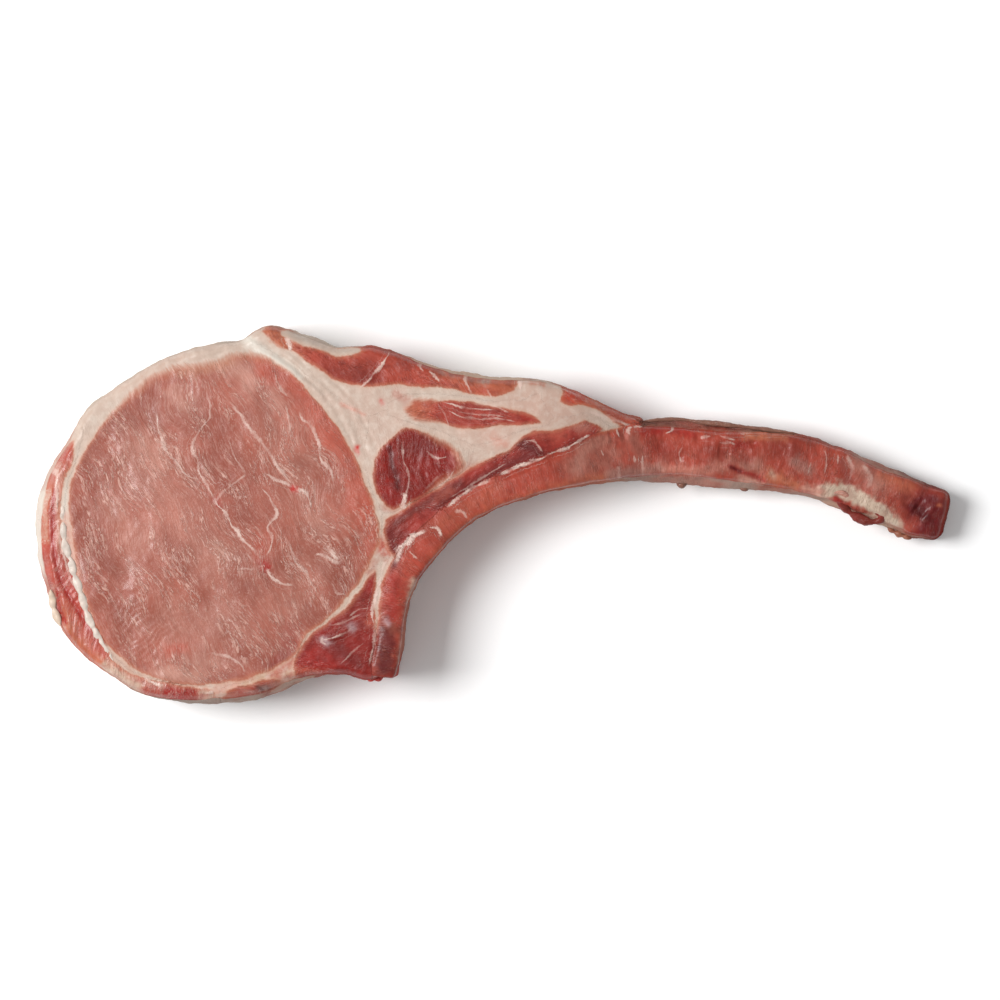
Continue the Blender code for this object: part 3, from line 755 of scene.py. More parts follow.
ribMeat = {  # bone and the thin meat on it, to the tip; its paths run along and across it
    "slot": "rib_meat", "tone": (181, 74, 57), "fibreAngle": 0, "fibreHeight": 0.045,
    "streaksAndSheen": 0.35, "glints": 0.2,
    "seams": [
        ([(12, 6), (18, 6.5)], 2, 0.4),
    ],
    "dabs": [
        ([(30.5, 4), (36, 8), (38, 12)], 2, "darkLean", 1.2),
        ([(3, 0), (8, 0.5), (13, 1)], 2.9, "darkLean", 1.4),
        ([(45, 1), (56, -0.6)], 3, "deepLean", 0.35),
        ([(86, -1), (90, 3), (95, 5)], 3.4, "softLean", 0.9),
        ([(91, -2), (97, 0)], 3, "softLean", 0.6),
        ([(103, 3.6), (105, -1)], 2.4, "softLean", 0.6),
        ([(134, -3), (137, -2.4)], 2.6, "softLean", 0.9),
        ([(178, 3), (180, 1.6)], 2.4, "warmLean", 0.9),
        ([(14, -0.5), (17.5, 3)], 1.7, "edgeLean", 0.8),
        # painted highlight: bluish sheen on the wet meat
        ([(15.4, 0.6), (16.2, 1.2)], 0.9, "bluePink", 0.9),
        ([(18, 0), (26, 1)], 2.4, "bloodRed", 0.7),
        ([(2, -4.4), (11, -4), (21, -4.2), (29, -3.4)], 0.9, "cream", 0.7),
        ([(38, -5), (56, -5), (74, -5.5), (92, -6)], 2.2, "orangeLean", 0.9),
        ([(46, 1), (64, 1)], 2.5, "orangeLean", 0.3),
        ([(96, -5), (104, -5.5), (110, -5)], 2.2, "greyPink", 0.6),
        ([(106, 5.4), (110, 5.5)], 1.6, "bloodRed", 0.8),
        ([(113, 5.8), (119, 5)], 1.2, "bloodRed", 0.7),
        ([(107, 1), (112, 0)], 3, "deepLean", 0.5),
        ([(125, 1), (131, 1)], 3, "deepLean", 0.4),
        ([(131, 3), (136, 4)], 1.5, "bloodRed", 0.7),
        ([(134, 5.8), (144, 6.4)], 1.3, "orangeLean", 1.3),
        ([(112, -5), (122, -5), (130, -2)], 2.2, "palePink", 0.5),
        ([(133, -6.4), (140, -7)], 1.4, "palePink", 1.2),
        ([(141.5, -4.5), (149, -6)], 2, "orangeLean", 1.1),
        ([(141.6, -3.6), (142.4, -4.4)], 0.8, "cream", 0.5),
        ([(142, 4), (147, 2.5)], 3.4, "deepLean", 0.5),
        ([(148, 0), (152, -1)], 2, "greyPink", 0.5),
        ([(129.5, -2.4), (132, -3.8), (136, -4.6), (140, -6.3)], 0.8, "bloodRed", 0.9),
        ([(130, -2.9), (132.6, -4)], 0.6, "tipRed", 1),
        ([(163, 6), (172, 2)], 3.2, "softLean", 0.9),
        ([(160, 4), (164, -1)], 1.5, "duskyLean", 0.5),
        ([(172, 5), (180, 5)], 2, "orangeLean", 0.6),
        ([(157.5, -5.6), (164, -3.2), (170, -3.6), (176, -5), (181.5, -7.4)], 1.8, "cream", 2),
        ([(152, -6), (157, -6)], 1.4, "palePink", 1),
        ([(163, -6.4), (168, -7.6), (173, -8)], 1.2, "bloodRed", 1.3),
        ([(184.6, 1), (188, 1), (188.6, -4)], 4.2, "tipRed", 1.5),
        ([(183.5, 0), (187, -1.5)], 1.8, "nearBlack", 0.7),
        ([(189.6, 2.5), (190.2, 2.6)], 0.5, "orangeLean", 0.8),
    ],
    "lines": [
        ([(30.5, 3), (32.5, 3.6), (34.5, 4.5), (38.5, 4), (42.5, 2.4)], 0, 0.7, 0.85),
        ([(50, 3.4), (54, 3.6), (58.5, 4), (64, 4)], 0, 0.5, 0.9),
        ([(65.5, 4), (71, 4.5), (77, 4.6), (80, 4.9)], 0, 0.4, 0.95),
        ([(79.5, 5.2), (85.5, 5.3), (93, 7)], 0, 0.4, 1),
        ([(43.5, 2.5), (44.8, 0.5), (44, -1.8)], 1, 0.36, 0.8),
        ([(51, 1.4), (53, -0.3), (53, -2.4)], 1, 0.36, 0.7),
        ([(35, 2), (35, -0.6)], 1, 0.36, 0.7),
        ([(30, 5), (27.5, 5.2), (21.5, 5.1), (17, 5.2), (13, 4.2), (6, 4.2), (2.5, 4.6)], 0, 0.5, 0.75),
        ([(25.5, 4.9), (28, 5.4), (31, 5.6)], 2, 0.6, 0.6),
        ([(99.2, 6.8), (99.6, 5.6), (99.8, 4.4)], 0, 0.36, 1),
        ([(103.5, 6.8), (102.4, 6), (102.4, 4.4)], 1, 0.36, 1),
        ([(103.6, 6.8), (107, 6.9)], 0, 0.45, 0.9),
        ([(110.8, 7.2), (113.5, 6.8), (113, 5.6), (111.5, 4.8)], 0, 0.3, 0.7),
        ([(94.3, 2.2), (94.6, 0.6)], 1, 0.26, 0.6),
        ([(103, -1), (103, -3)], 1, 0.26, 0.6),
        ([(105.3, -1), (105.4, -4), (105, -6.8)], 1, 0.4, 0.5),
        ([(98.3, -3), (97.7, -6.8)], 1, 0.5, 0.4),
        ([(116.5, 1.5), (115.6, -0.6), (116.5, -3)], 0, 0.3, 0.5),
        ([(109, 8.3), (117, 7.8), (125.5, 7), (131.5, 6.9), (139, 7.4), (147, 8)], 0, 0.4, 0.8),
        ([(121, 4.6), (123.6, 5)], 1, 0.4, 0.5),
        ([(126, 5.5), (130.8, 4.6)], 1, 0.4, 0.8),
        ([(126, 3.4), (129, 3.8), (131, 3.2)], 0, 0.4, 0.6),
        ([(154.5, 6), (156, 2), (156.5, -1)], 1, 0.25, 0.55),
        ([(158.5, 5.5), (159, 3)], 0, 0.25, 0.6),
        ([(152, 1.4), (152, -2.2)], 0, 0.25, 0.4),
        ([(160.5, 6.4), (163, 3.4), (163.6, 0)], 0, 0.5, 0.4),
        ([(165, 6), (169, 3.5), (169, 0)], 1, 0.6, 0.4),
    ],
    "strokes": [
        ([(130, -2.6), (132, -3.8), (136, -4.6), (141, -6.7)], 0.7, -0.4),
        ([(64, 3.2), (72, 3), (80, 3.9), (90, 5)], 0.7, -0.6),
        ([(160, -4.4), (166, -5.4), (171, -6), (176, -5.6)], 0.8, -0.7),
        ([(99, 6.8), (99.6, 4.4)], 0.7, 0.3),
        ([(97.6, 6.6), (97.8, 3)], 0.7, -0.4),
        ([(101, 6.6), (101.2, 3)], 0.7, -0.4),
        ([(112, 5.8), (119, 5)], 0.8, -0.5),
        ([(126, 1), (130, 1)], 2.2, -0.5),
        ([(131, 3), (137, 4)], 0.8, -0.5),
        ([(183, 0.5), (187, -1)], 2.6, -0.7),
        ([(160, 8), (160.5, 5)], 0.7, -0.4),
        ([(14, -0.5), (17.5, 3)], 1.4, 0.4),
    ],
}
fatCap = {  # the fat that joins the muscles
    "slot": "fat",
    "dabs": [
        ([(12, 30), (20, 20)], 10, "palePink", 0.15),
        ([(45, 24), (56, 30), (66, 28)], 8, "palePink", 0.35),
        ([(4.5, 31), (7.5, 29.5), (10.5, 28)], 0.7, "palePink", 0.9),
        ([(15.5, 31.8), (15.8, 31)], 0.6, "brightRed", 0.8),
        ([(9, 19), (9, 17.8)], 0.7, "brightRed", 1.2),
        ([(46, 21), (49, 20)], 1.8, "palePink", 0.8),
        ([(53, 38.2), (60, 36.6)], 1, "orangeLean", 1.4),
        ([(-21.5, 49), (-18, 46), (-12, 42), (-7.5, 38)], 1.8, "whiteFat", 0.8),
        ([(-60, 36), (-40, 44)], 6, "palePink", 0.12),
        ([(-8, -46), (14, -44)], 3, "palePink", 0.6),
        ([(2, -46), (9, -45)], 1, "bloodRed", 0.7),
        ([(-22, -44.5), (-12, -43), (-4, -40)], 3.5, "tanFat", 1),
        ([(-16, -45.5), (-6, -43)], 1.6, "softLean", 1.1),
        ([(-26, -44), (-20, -43.6)], 1.2, "softLean", 0.9),
        ([(-38, -47), (-30, -47.6), (-24, -46)], 2, "palePink", 0.8),
        ([(-62, -40), (-52, -46)], 5, "orangeLean", 0.4),
        ([(8, -6), (5, -12), (0, -20), (-8, -28)], 2, "tanFat", 0.7),
        ([(-72, 10), (-70.6, 1)], 1.6, "whiteFat", 0.6),
        ([(-71, 0), (-68.6, -8)], 1.5, "palePink", 0.8),
        ([(16.9, -9), (15, -7)], 2.4, "warmLean", 1.3),
        ([(13, -12.8), (12, -15)], 1.8, "softLean", 0.8),
        ([(-68.4, -9), (-66.6, -21), (-63, -29)], 1.3, "palePink", 1.1),
        ([(13, -24), (12.4, -28)], 1.6, "softLean", 0.8),
        ([(16.8, 2.2), (20.8, 2.4)], 1.8, "softLean", 0.7),
        ([(31, 9), (40, 13.6)], 2, "softLean", 0.8),
        ([(20, 33.6), (22, 32)], 1.8, "softLean", 0.7),
        ([(-14, -43), (-9, -39.5), (-6, -36)], 2, "warmLean", 0.75),
    ],
    "strokes": [
        ([(-21.5, 49), (-18, 46), (-12, 42), (-7.5, 38), (-1.5, 33.5), (1, 29)], 1, 0.35),
        ([(-18, 48.5), (-10, 42.6), (-3, 37)], 0.7, -0.3),
    ],
}
edgeFat = {  # the fat outside the cap muscle
    "slot": "fat",
    "dabs": [
        ([(-6, 1), (8, -1)], 3, "greySkin", 0.5),
    ],
}
tissues = dict(zip(nodeNames, [
    loinEye, sideMuscle, capMuscle, innerMuscle, ovalMuscle, ribMuscle, tailMuscle, chineMuscle, lowerMuscle,
    ribMeat, fatCap, edgeFat,
]))


# what each place is made of
leanDepth = depth[:, : len(lean)]
fatDepth = depth[:, len(lean) :].max(1)
muscle = leanDepth.argmax(1)  # the muscle that a place is in or nearest to
border = np.clip((leanDepth.max(1) - fatDepth) / 2, -6, 6)  # mm into the lean, below 0 in the fat
inNode = {name: depth[:, column] for column, name in enumerate(nodeNames)}
place3 = flat(xy)


def rowsOf(kind):
    return [(name, row) for name, look in tissues.items() for row in look.get(kind, [])]


def perMuscle(kind):
    # a value of each muscle, at every place that it covers
    return np.array([tissues[name][kind] for name in lean])[muscle]


lampSizes = {
    "level": 1.35,  # the lamps light the cut face this much more than its colours are named for
    "keyPower": 16,
    "keySize": (0.56, 0.5),
    "keyDistance": 1.2,
    "keyHeight": 55,  # degrees above the table
    "keyTurn": 9,  # degrees from the left towards the top
    "skyStrength": 0.5,
    "skyGloss": 0.12,
}


def paint(*rgb):
    # a colour as seen in white light, 0 to 255, as the linear value that gives it under these lamps
    value = np.array(rgb) / 255
    linear = np.where(value <= 0.04045, value / 12.92, ((value + 0.055) / 1.055) ** 2.4)
    return linear / lampSizes["level"]


ribDistance, ribPiece, ribShare = nearestOn(xy, ribLine[:-1], ribLine[1:])
ribAway = xy - ribLine[ribPiece]
ribRun = (ribLine[1:] - ribLine[:-1])[ribPiece]
ribSide = np.sign(ribRun[:, 0] * ribAway[:, 1] - ribRun[:, 1] * ribAway[:, 0])
ribAlong = ribLengths[ribPiece] + ribShare * np.linalg.norm(ribRun, axis=1)
ribAcross = ribDistance * ribSide

angles = np.radians(perMuscle("fibreAngle"))
bend = np.column_stack([wobble(place3, 13, 31), wobble(place3, 13, 32)]) * 2.2
grainXy = xy + bend
grain = np.column_stack([
    grainXy[:, 0] * np.cos(angles) + grainXy[:, 1] * np.sin(angles),
    -grainXy[:, 0] * np.sin(angles) + grainXy[:, 1] * np.cos(angles),
])
isRib = muscle == lean.index("rib")
grain[isRib] = np.column_stack([ribAcross, ribAlong])[isRib] + bend[isRib] * 0.4
for node, (path, radius, shift) in rowsOf("seams"):
    rows, distance, _, _ = pathField(xy, placed(node, path), radius * 2)
    border[rows] += shift * np.exp(-((distance / radius) ** 2)) * ease(1.8, 0.6, np.abs(border[rows]))
print("tissues placed")


# Each muscle has its own tone, with softer or redder places dabbed on it.
shades = {
    "fat": (205, 181, 165), "skin": (206, 190, 174),
    "paleLean": (200, 140, 124), "softLean": (190, 126, 110), "edgeLean": (158, 82, 66),
    "warmLean": (188, 92, 74), "deepLean": (140, 52, 44), "darkLean": (112, 36, 34),
    "nearBlack": (78, 18, 20), "bloodRed": (172, 44, 38), "brightRed": (204, 56, 48),
    "orangeLean": (200, 112, 82), "palePink": (214, 154, 136), "cream": (220, 196, 174),
    "greyPink": (172, 140, 128), "greySkin": (172, 156, 144), "tanSkin": (176, 112, 86),
    "tanLean": (196, 138, 112), "tanFat": (204, 168, 142), "whiteFat": (232, 224, 212),
    "brownSkin": (146, 104, 88), "tipRed": (118, 30, 32), "paleFat": (218, 202, 190),
    # the side lean tone is partly painted shade
    "shadedSideLean": (158, 74, 64),
    # the bluish pink is a painted sheen
    "bluePink": (196, 164, 166), "duskyLean": (128, 62, 56),
}
skinDabs = {  # patches on the uncut sides, as the dabs above
    "rib": [
        ([(106, 10), (120, 10), (146, 10)], 4, "brownSkin", 1.4),
        ([(150, 10), (160, 10)], 4, "duskyLean", 0.9),
        ([(162, 10), (171, 10), (179, 9)], 4, "greySkin", 1.5),
        ([(10, -9), (30, -9), (60, -10), (96, -10)], 6, "tanSkin", 1.2),
        ([(101, -10), (116, -10), (134, -10), (141, -10)], 4, "greySkin", 2),
        ([(143, -10), (152, -9), (158, -8)], 4, "greyPink", 1.3),
        ([(162, -9), (172, -10), (184, -10)], 4, "tanFat", 1),
        ([(186, 9), (192, 4), (192, -7)], 6, "darkLean", 1.2),
    ],
    "side_muscle": [
        ([(-26, 30), (-26, 14), (-26, 3)], 5, "whiteFat", 1.6),
        ([(-24, 1), (-23, -7)], 2.5, "edgeLean", 0.8),
        ([(-21, -10), (-16, -22), (-6, -31)], 6, "palePink", 1.4),
        ([(2, -35), (12, -38), (30, -36)], 5, "greySkin", 1.3),
    ],
    "fat_cap": [
        ([(-46, -50), (-30, -52), (-14, -52), (8, -48)], 6, "greySkin", 1.3),
        ([(20, 50), (40, 46), (60, 40)], 4, "greySkin", 0.6),
    ],
    "cap_muscle": [
        ([(-12, 12), (0, 9), (8, 6)], 3, "tanSkin", 0.6),
        # painted light: cream, lighter than this grey skin, so that it reads grey in the shade on this side
        ([(12, 1), (24, -2), (30, -4)], 5, "cream", 1.9),
        ([(31, -2), (38, -4)], 3, "duskyLean", 1),
    ],
    "chine_muscle": [
        ([(6, -14), (13, -14)], 4, "brightRed", 0.7),
    ],
}


def dabShare(node, path, radius, strength):
    rows, distance, _, _ = pathField(xy, placed(node, path), radius * 2.2)
    spread = radius * (1 + 0.35 * wobble(place3[rows], max(radius * 0.8, 1.2), 41, 2))
    return rows, np.minimum(strength * np.exp(-((distance / spread) ** 2) * 1.2), 1)


def dabbed(colours, dabs, staysInside):
    for node, (path, radius, shade, strength) in dabs:
        rows, share = dabShare(node, path, radius, strength)
        if staysInside:
            share = share * ease(-0.6, 0.4, inNode[node][rows])
        colours[rows] += share[:, None] * (paint(*shades[shade]) - colours[rows])
    return colours


weights = np.exp(np.clip(leanDepth, -6, 3) / 0.35)
leanTint = weights @ np.array([paint(*tissues[name]["tone"]) for name in lean]) / weights.sum(1)[:, None]
leanTint = dabbed(leanTint, [(name, row) for name, row in rowsOf("dabs") if name in lean], True)
leanTint *= (1 + 0.10 * wobble(place3, 11, 42, 3))[:, None]
fatTint = np.tile(paint(*shades["fat"]), (len(xy), 1))
fatTint = dabbed(fatTint, [(name, row) for name, row in rowsOf("dabs") if name in fatty], False)


# marbling and seams: thin lines of fat, in three layers so that crossing lines stay whole
lineOffset = np.full((len(xy), 3), 5.0)
linePower = np.zeros((len(xy), 3))
lineDistance = np.full((len(xy), 3), 99.0)
jitter = np.where(muscle == lean.index("loin_eye"), 0.35, 0.18)[:, None]
raggedXy = xy + jitter * np.column_stack([wobble(place3, 4, 53, 2), wobble(place3, 4, 54, 2)])
for node, (path, layer, halfWidth, strength) in rowsOf("lines"):
    halfWidth *= tissues[node].get("lineWidth", 1)
    strength *= tissues[node].get("linePower", 1)
    rows, distance, side, share = pathField(raggedXy, placed(node, path), halfWidth + 1)
    nearer = distance < lineDistance[rows, layer]
    rows, distance, side, share = (v[nearer] for v in (rows, distance, side, share))
    width = halfWidth * (0.55 + 0.45 * np.sin(math.pi * share))
    width *= 1 + 0.6 * wobble(place3[rows], 2.4, 51, 2)
    lineDistance[rows, layer] = distance
    lineOffset[rows, layer] = distance * side / np.maximum(width, 0.12)
    fade = ease(0, 0.12, share) * ease(0, 0.12, 1 - share)
    linePower[rows, layer] = strength * fade * (0.8 + 0.5 * wobble(place3[rows], 2.6, 52, 2))
print("colours and", len(rowsOf("lines")), "lines of fat placed")



reliefSizes = {  # in mm: height of each form, and its size across
    "swell": 0.3,
    "swellSize": 17,
    "ripple": 0.09,
    "rippleSize": 4.5,
    "leanAboveFat": 0.12,
    "fibreSize": (3.2, 0.95),  # along and across the fibres
    "handleSwell": 0.35,
    "handleSwellSize": 7,
    "handleRipple": 0.1,
    "handleRippleSize": 2,
    "strand": 0.09,  # strands of fat beside the eye's upper right border
    "fold": 0.08,  # soft parallel folds at the eye's lower left
    "underside": 0.22,
    "sideLump": 0.3,
    "sideGrain": 0.1,
    "keepIn": 0.02,  # the flesh stays this far inside the box of the solids
}


def faceRelief():
    sizes = reliefSizes
    relief = sizes["swell"] * wobble(place3, sizes["swellSize"], 61, 2)
    relief += sizes["ripple"] * wobble(place3, sizes["rippleSize"], 62, 2)
    relief += sizes["leanAboveFat"] * ease(-1.2, 1.6, border)
    fibres = wobble(np.column_stack([grain / sizes["fibreSize"], np.zeros(len(xy))]), 1, 63, 2)
    relief += fibres * perMuscle("fibreHeight") * ease(-0.2, 0.6, border)
    handle = ease(60, 110, ribAlong) * isRib
    relief += handle * sizes["handleSwell"] * wobble(place3, sizes["handleSwellSize"], 64, 3)
    relief += handle * sizes["handleRipple"] * wobble(place3, sizes["handleRippleSize"], 65, 2)
    for node, (path, halfWidth, height) in rowsOf("strokes"):
        rows, distance, _, share = pathField(xy, placed(node, path), halfWidth * 3)
        fade = ease(0, 0.2, share) * ease(0, 0.2, 1 - share)
        relief[rows] += height * fade * np.exp(-((distance / halfWidth) ** 2))
    inEye = inNode["loin_eye"]
    strands = np.sin(-inEye * 2.6 + 2.2 * wobble(place3, 9, 69, 2))
    besideEye = ease(-9, -6, inEye) * ease(0.2, -1, inEye)
    besideEye *= ease(14, 22, xy[:, 1]) * ease(-16, 0, xy[:, 0])
    relief += sizes["strand"] * strands * besideEye * ease(0.3, -0.5, border)
    foldAlong = (xy[:, 1] - 0.85 * xy[:, 0]) / 1.31
    folds = np.sin(foldAlong * 3.6 + 5 * wobble(place3, 7, 70, 2)) * (0.5 + 0.5 * wobble(place3, 5, 71))
    fromFolds = ((xy - (-22, -30)) / (11, 9)) ** 2
    lowLeft = ease(0.5, 4, inEye) * np.exp(-fromFolds.sum(1))
    relief += sizes["fold"] * folds * lowLeft
    drop = np.clip(1 - rimDistance / surfaceSizes["rimWidth"], 0, 1)
    return relief - surfaceSizes["rimDrop"] * drop**2


faceTop = np.minimum(faceZ + faceRelief(), wholeHigh[2] - reliefSizes["keepIn"])
underside = reliefSizes["underside"] * np.clip(wobble(place3, 6, 66, 2), 0, 1) * ease(0.5, 3, rimDistance)
ringCount = len(sideLevels)
sideXy = rimXy + outward * offsets[:ringCount, :, None]
sideZ = faceTop[rim] * np.array(sideLevels)[:, None]
sidePoint = np.concatenate([sideXy, sideZ[..., None]], -1).reshape(-1, 3)
lumps = reliefSizes["sideLump"] * wobble(sidePoint, 6, 67, 3)
lumps += reliefSizes["sideGrain"] * wobble(sidePoint, 1.6, 68, 2)
fadeAtRim = np.sin(math.pi * np.array(sideLevels)) ** 0.5
sideXy = sideXy + outward * (lumps.reshape(ringCount, -1) * fadeAtRim[:, None] - 0.15)[..., None]
footXy = rimXy + outward * offsets[-1][:, None]
bottomXy = xy.copy()
bottomXy[rim] = footXy
bottomXy = relaxed(bottomXy, links, 0.5, (rimDistance < 3) & ~onRim, 6)

wholePoints = np.concatenate([
    np.column_stack([xy, faceTop]),
    np.column_stack([bottomXy, underside]),
    np.concatenate([sideXy, sideZ[..., None]], -1).reshape(-1, 3),
])
keepIn = reliefSizes["keepIn"]
wholePoints = np.clip(wholePoints, wholeLow + keepIn * np.array([1, 1, 0]), wholeHigh - keepIn)
columnOf = np.concatenate([np.arange(len(xy)), np.arange(len(xy)), np.tile(rim, ringCount)])
shareDown = np.repeat([0, 1, *(1 - np.array(sideLevels))], [len(xy), len(xy)] + [len(rim)] * ringCount)
print("relief made")


# the surface is cut into one closed piece for each solid
pointCount = len(xy)
rimPlace = np.full(pointCount, -1)
rimPlace[rim] = np.arange(len(rim))


def columnPoints(column):
    # the points of a column of the surface, from the cut face down to the underside
    middle = []
    if rimPlace[column] >= 0:
        middle = [2 * pointCount + ring * len(rim) + rimPlace[column] for ring in range(ringCount)]
    return [column, *middle, column + pointCount]


def wallBetween(a, b):
    # triangles of an upright wall whose outer side is on the right of the way from a to b
    first, second = columnPoints(a), columnPoints(b)
    if len(first) == len(second):
        steps = zip(first[1:], second[1:], second, first)
        return [t for low, lowB, upB, up in steps for t in ((low, lowB, upB), (low, upB, up))]
    if len(first) > len(second):
        apex, ladder = second[0], first
        return [(apex, up, low) for up, low in zip(ladder, ladder[1:])] + [(apex, first[-1], second[-1])]
    apex, ladder = first[0], second
    return [(apex, low, up) for up, low in zip(ladder, ladder[1:])] + [(apex, first[-1], second[-1])]


def pieceTriangles(label):
    own = triangles[labels == label]
    edges = openEdges(own)
    isOuter = (rimPlace[edges] >= 0).all(1)
    gap = (rimPlace[edges[:, 1]] - rimPlace[edges[:, 0]]) % len(rim)
    isOuter &= gap == 1
    outer = [t for a, b in edges[isOuter].tolist() for t in wallBetween(a, b)]
    inner = [t for a, b in edges[~isOuter].tolist() for t in wallBetween(a, b)]
    smooth = np.concatenate([own, own[:, ::-1] + pointCount, np.array(outer, int).reshape(-1, 3)])
    return smooth, np.array(inner, int).reshape(-1, 3)


pieceFaces = [pieceTriangles(label) for label in range(len(nodeNames))]


def surfaceNormals():
    # normals of the whole surface, so that the shading runs on from one piece to the next
    outer = np.concatenate([smooth for smooth, _ in pieceFaces])
    a, b, c = (wholePoints[outer[:, corner]] for corner in range(3))
    across = np.cross(b - a, c - a)
    total = np.zeros_like(wholePoints)
    for axis in range(3):
        for corner in range(3):
            total[:, axis] += np.bincount(outer[:, corner], across[:, axis], len(wholePoints))
    return total / np.maximum(np.linalg.norm(total, axis=1), 1e-12)[:, None]


normals = surfaceNormals()


def intoScene(name, data):
    made = bpy.data.objects.new(name, data)
    bpy.context.scene.collection.objects.link(made)
    return made


def movePoints(mesh, points):
    mesh.vertices.foreach_set("co", (points * mm).astype(np.float32).ravel())


def newMesh(name, points, faces, flatFrom):
    mesh = bpy.data.meshes.new(name)
    mesh.vertices.add(len(points))
    movePoints(mesh, points)
    mesh.loops.add(len(faces) * 3)
    mesh.loops.foreach_set("vertex_index", faces.astype(np.int32).ravel())
    mesh.polygons.add(len(faces))
    mesh.polygons.foreach_set("loop_start", np.arange(0, len(faces) * 3, 3, dtype=np.int32))
    mesh.polygons.foreach_set("use_smooth", np.arange(len(faces)) < flatFrom)
    mesh.update(calc_edges=True)
    return mesh


def addAttribute(mesh, name, kind, values):
    field = {"FLOAT": "value", "FLOAT_VECTOR": "vector", "FLOAT_COLOR": "color"}[kind]
    if kind == "FLOAT_COLOR":
        values = np.column_stack([values, np.ones(len(values))])
    mesh.attributes.new(name, kind, "POINT").data.foreach_set(field, values.astype(np.float32).ravel())


# how far the lean is feathered into the fat, in mm: most at the eye's top edge
fringe = 0.12 + 0.5 * ease(22, 40, xy[:, 1]) * ease(22, 2, xy[:, 0]) * (inNode["loin_eye"] > -5)
fringe = fringe + 0.2 * (inNode["oval_muscle"] > -1.5) * ease(52, 60, xy[:, 0])
fringe = fringe + 0.3 * (inNode["inner_muscle"] > -1.5) * ease(62, 54, xy[:, 0])
# the eye has fewer streaks at its upper right border, and the tip of the rib fewer than the rest
streak = perMuscle("streaksAndSheen")
upperRight = ease(-6, 8, xy[:, 0]) * ease(0, 12, xy[:, 1])
calm = ease(0.5, 8, inNode["loin_eye"]) * 0.85 + 0.15
streak = streak * np.where(muscle == lean.index("loin_eye"), 1 - upperRight * (1 - calm), 1)
# how much painted highlight each muscle shows
glint = perMuscle("glints")
beforeTip = 1 - 0.8 * ease(176, 181, ribAlong) * isRib
streak, glint = streak * beforeTip, glint * beforeTip
skinShare = np.where(border < 0, 0.75, np.where(isRib, 0.5, 0.45))
columns = {
    "fatTint": ("FLOAT_COLOR", fatTint),
    # feathering of the border, streaks partly painted as sheen, and painted glints
    "fringeStreakGlint": ("FLOAT_VECTOR", np.column_stack([fringe, streak, glint])),
    "lineOffset": ("FLOAT_VECTOR", np.clip(lineOffset, -5, 5)),
    "linePower": ("FLOAT_VECTOR", linePower),
}


def addNode(tree, kind, inputs=None, **settings):
    made = tree.nodes.new(kind)
    for name, value in settings.items():
        setattr(made, name, value)
    for key, value in (inputs or {}).items():
        if isinstance(value, bpy.types.NodeSocket):
            tree.links.new(value, made.inputs[key])
        else:
            made.inputs[key].default_value = value
    return made


def calc(tree, operation, *values):
    return addNode(tree, "ShaderNodeMath", dict(enumerate(values)), operation=operation).outputs[0]


def plus(tree, first, second):
    return calc(tree, "ADD", first, second)


def minus(tree, first, second):
    return calc(tree, "SUBTRACT", first, second)


def times(tree, first, second):
    return calc(tree, "MULTIPLY", first, second)


def between(tree, value, low, high, toLow=0.0, toHigh=1.0):
    keys = {"Value": value, "From Min": low, "From Max": high, "To Min": toLow, "To Max": toHigh}
    return addNode(tree, "ShaderNodeMapRange", keys, interpolation_type="SMOOTHSTEP").outputs[0]


def mixed(tree, share, first, second):
    keys = {0: share, 6: first, 7: second}
    return addNode(tree, "ShaderNodeMix", keys, data_type="RGBA", clamp_factor=True).outputs[2]


def scaled(tree, vector, factors):
    return addNode(tree, "ShaderNodeVectorMath", {0: vector, 1: factors}, operation="MULTIPLY").outputs[0]


def noiseOf(tree, vector, scale=1.0, detail=2.0, roughness=0.5, distortion=0.0):
    keys = {"Vector": vector, "Scale": scale, "Detail": detail, "Roughness": roughness}
    return addNode(tree, "ShaderNodeTexNoise", {**keys, "Distortion": distortion}).outputs[0]


def attribute(tree, name, output):
    return addNode(tree, "ShaderNodeAttribute", attribute_name=name).outputs[output]


def parts(tree, vector):
    return addNode(tree, "ShaderNodeSeparateXYZ", {0: vector}).outputs


def rgba(*rgb):
    return (*paint(*rgb), 1)


def newGroup(name, inputs, outputs):
    group = bpy.data.node_groups.new(name, "ShaderNodeTree")
    for title, kind, default in inputs:
        socket = group.interface.new_socket(title, in_out="INPUT", socket_type=kind)
        socket.default_value = default
    for title, kind in outputs:
        group.interface.new_socket(title, in_out="OUTPUT", socket_type=kind)
    return group, group.nodes.new("NodeGroupInput").outputs, group.nodes.new("NodeGroupOutput").inputs


fleshMarks = {  # noise stretched along the fibres: its scale along, across and below them, and its range
    "longStreaks": {"scale": (0.2, 1.1, 0.4), "rough": 0.65, "bent": 0.6, "range": (0.5, 0.66)},
    "worms": {"scale": (0.45, 1.8, 0.5), "detail": 2, "rough": 0.55, "bent": 1.3, "range": (0.5, 0.62)},
    "patches": {"scale": (0.07, 0.2, 0.1), "rough": 0.65, "range": (0.46, 0.6)},
    "bands": {"scale": (0.045, 0.24, 0.1), "rough": 0.6, "range": (0.38, 0.6, 0.0, 0.5)},
    # painted glints: the tiny highlights on the wet lean
    "paintedGlints": {"scale": (1.4, 3.6, 1.2), "detail": 1, "bent": 1.0, "range": (0.59, 0.66)},
}
# streak is the pale fibres' colour and also stands in for wet highlights; the glint colour is a painted
# highlight
fleshTints = {
    "streak": (232, 186, 170), "mottle": (160, 96, 84), "glintHighlight": (246, 220, 214), "tanEdge": (200, 128, 98),
    "pinkFat": (216, 176, 158), "curd": (234, 222, 208), "fatByLean": (214, 168, 142),
    "marbling": (233, 202, 189), "drySkin": (206, 176, 160),
}


def fleshTint(name):
    return rgba(*fleshTints[name])


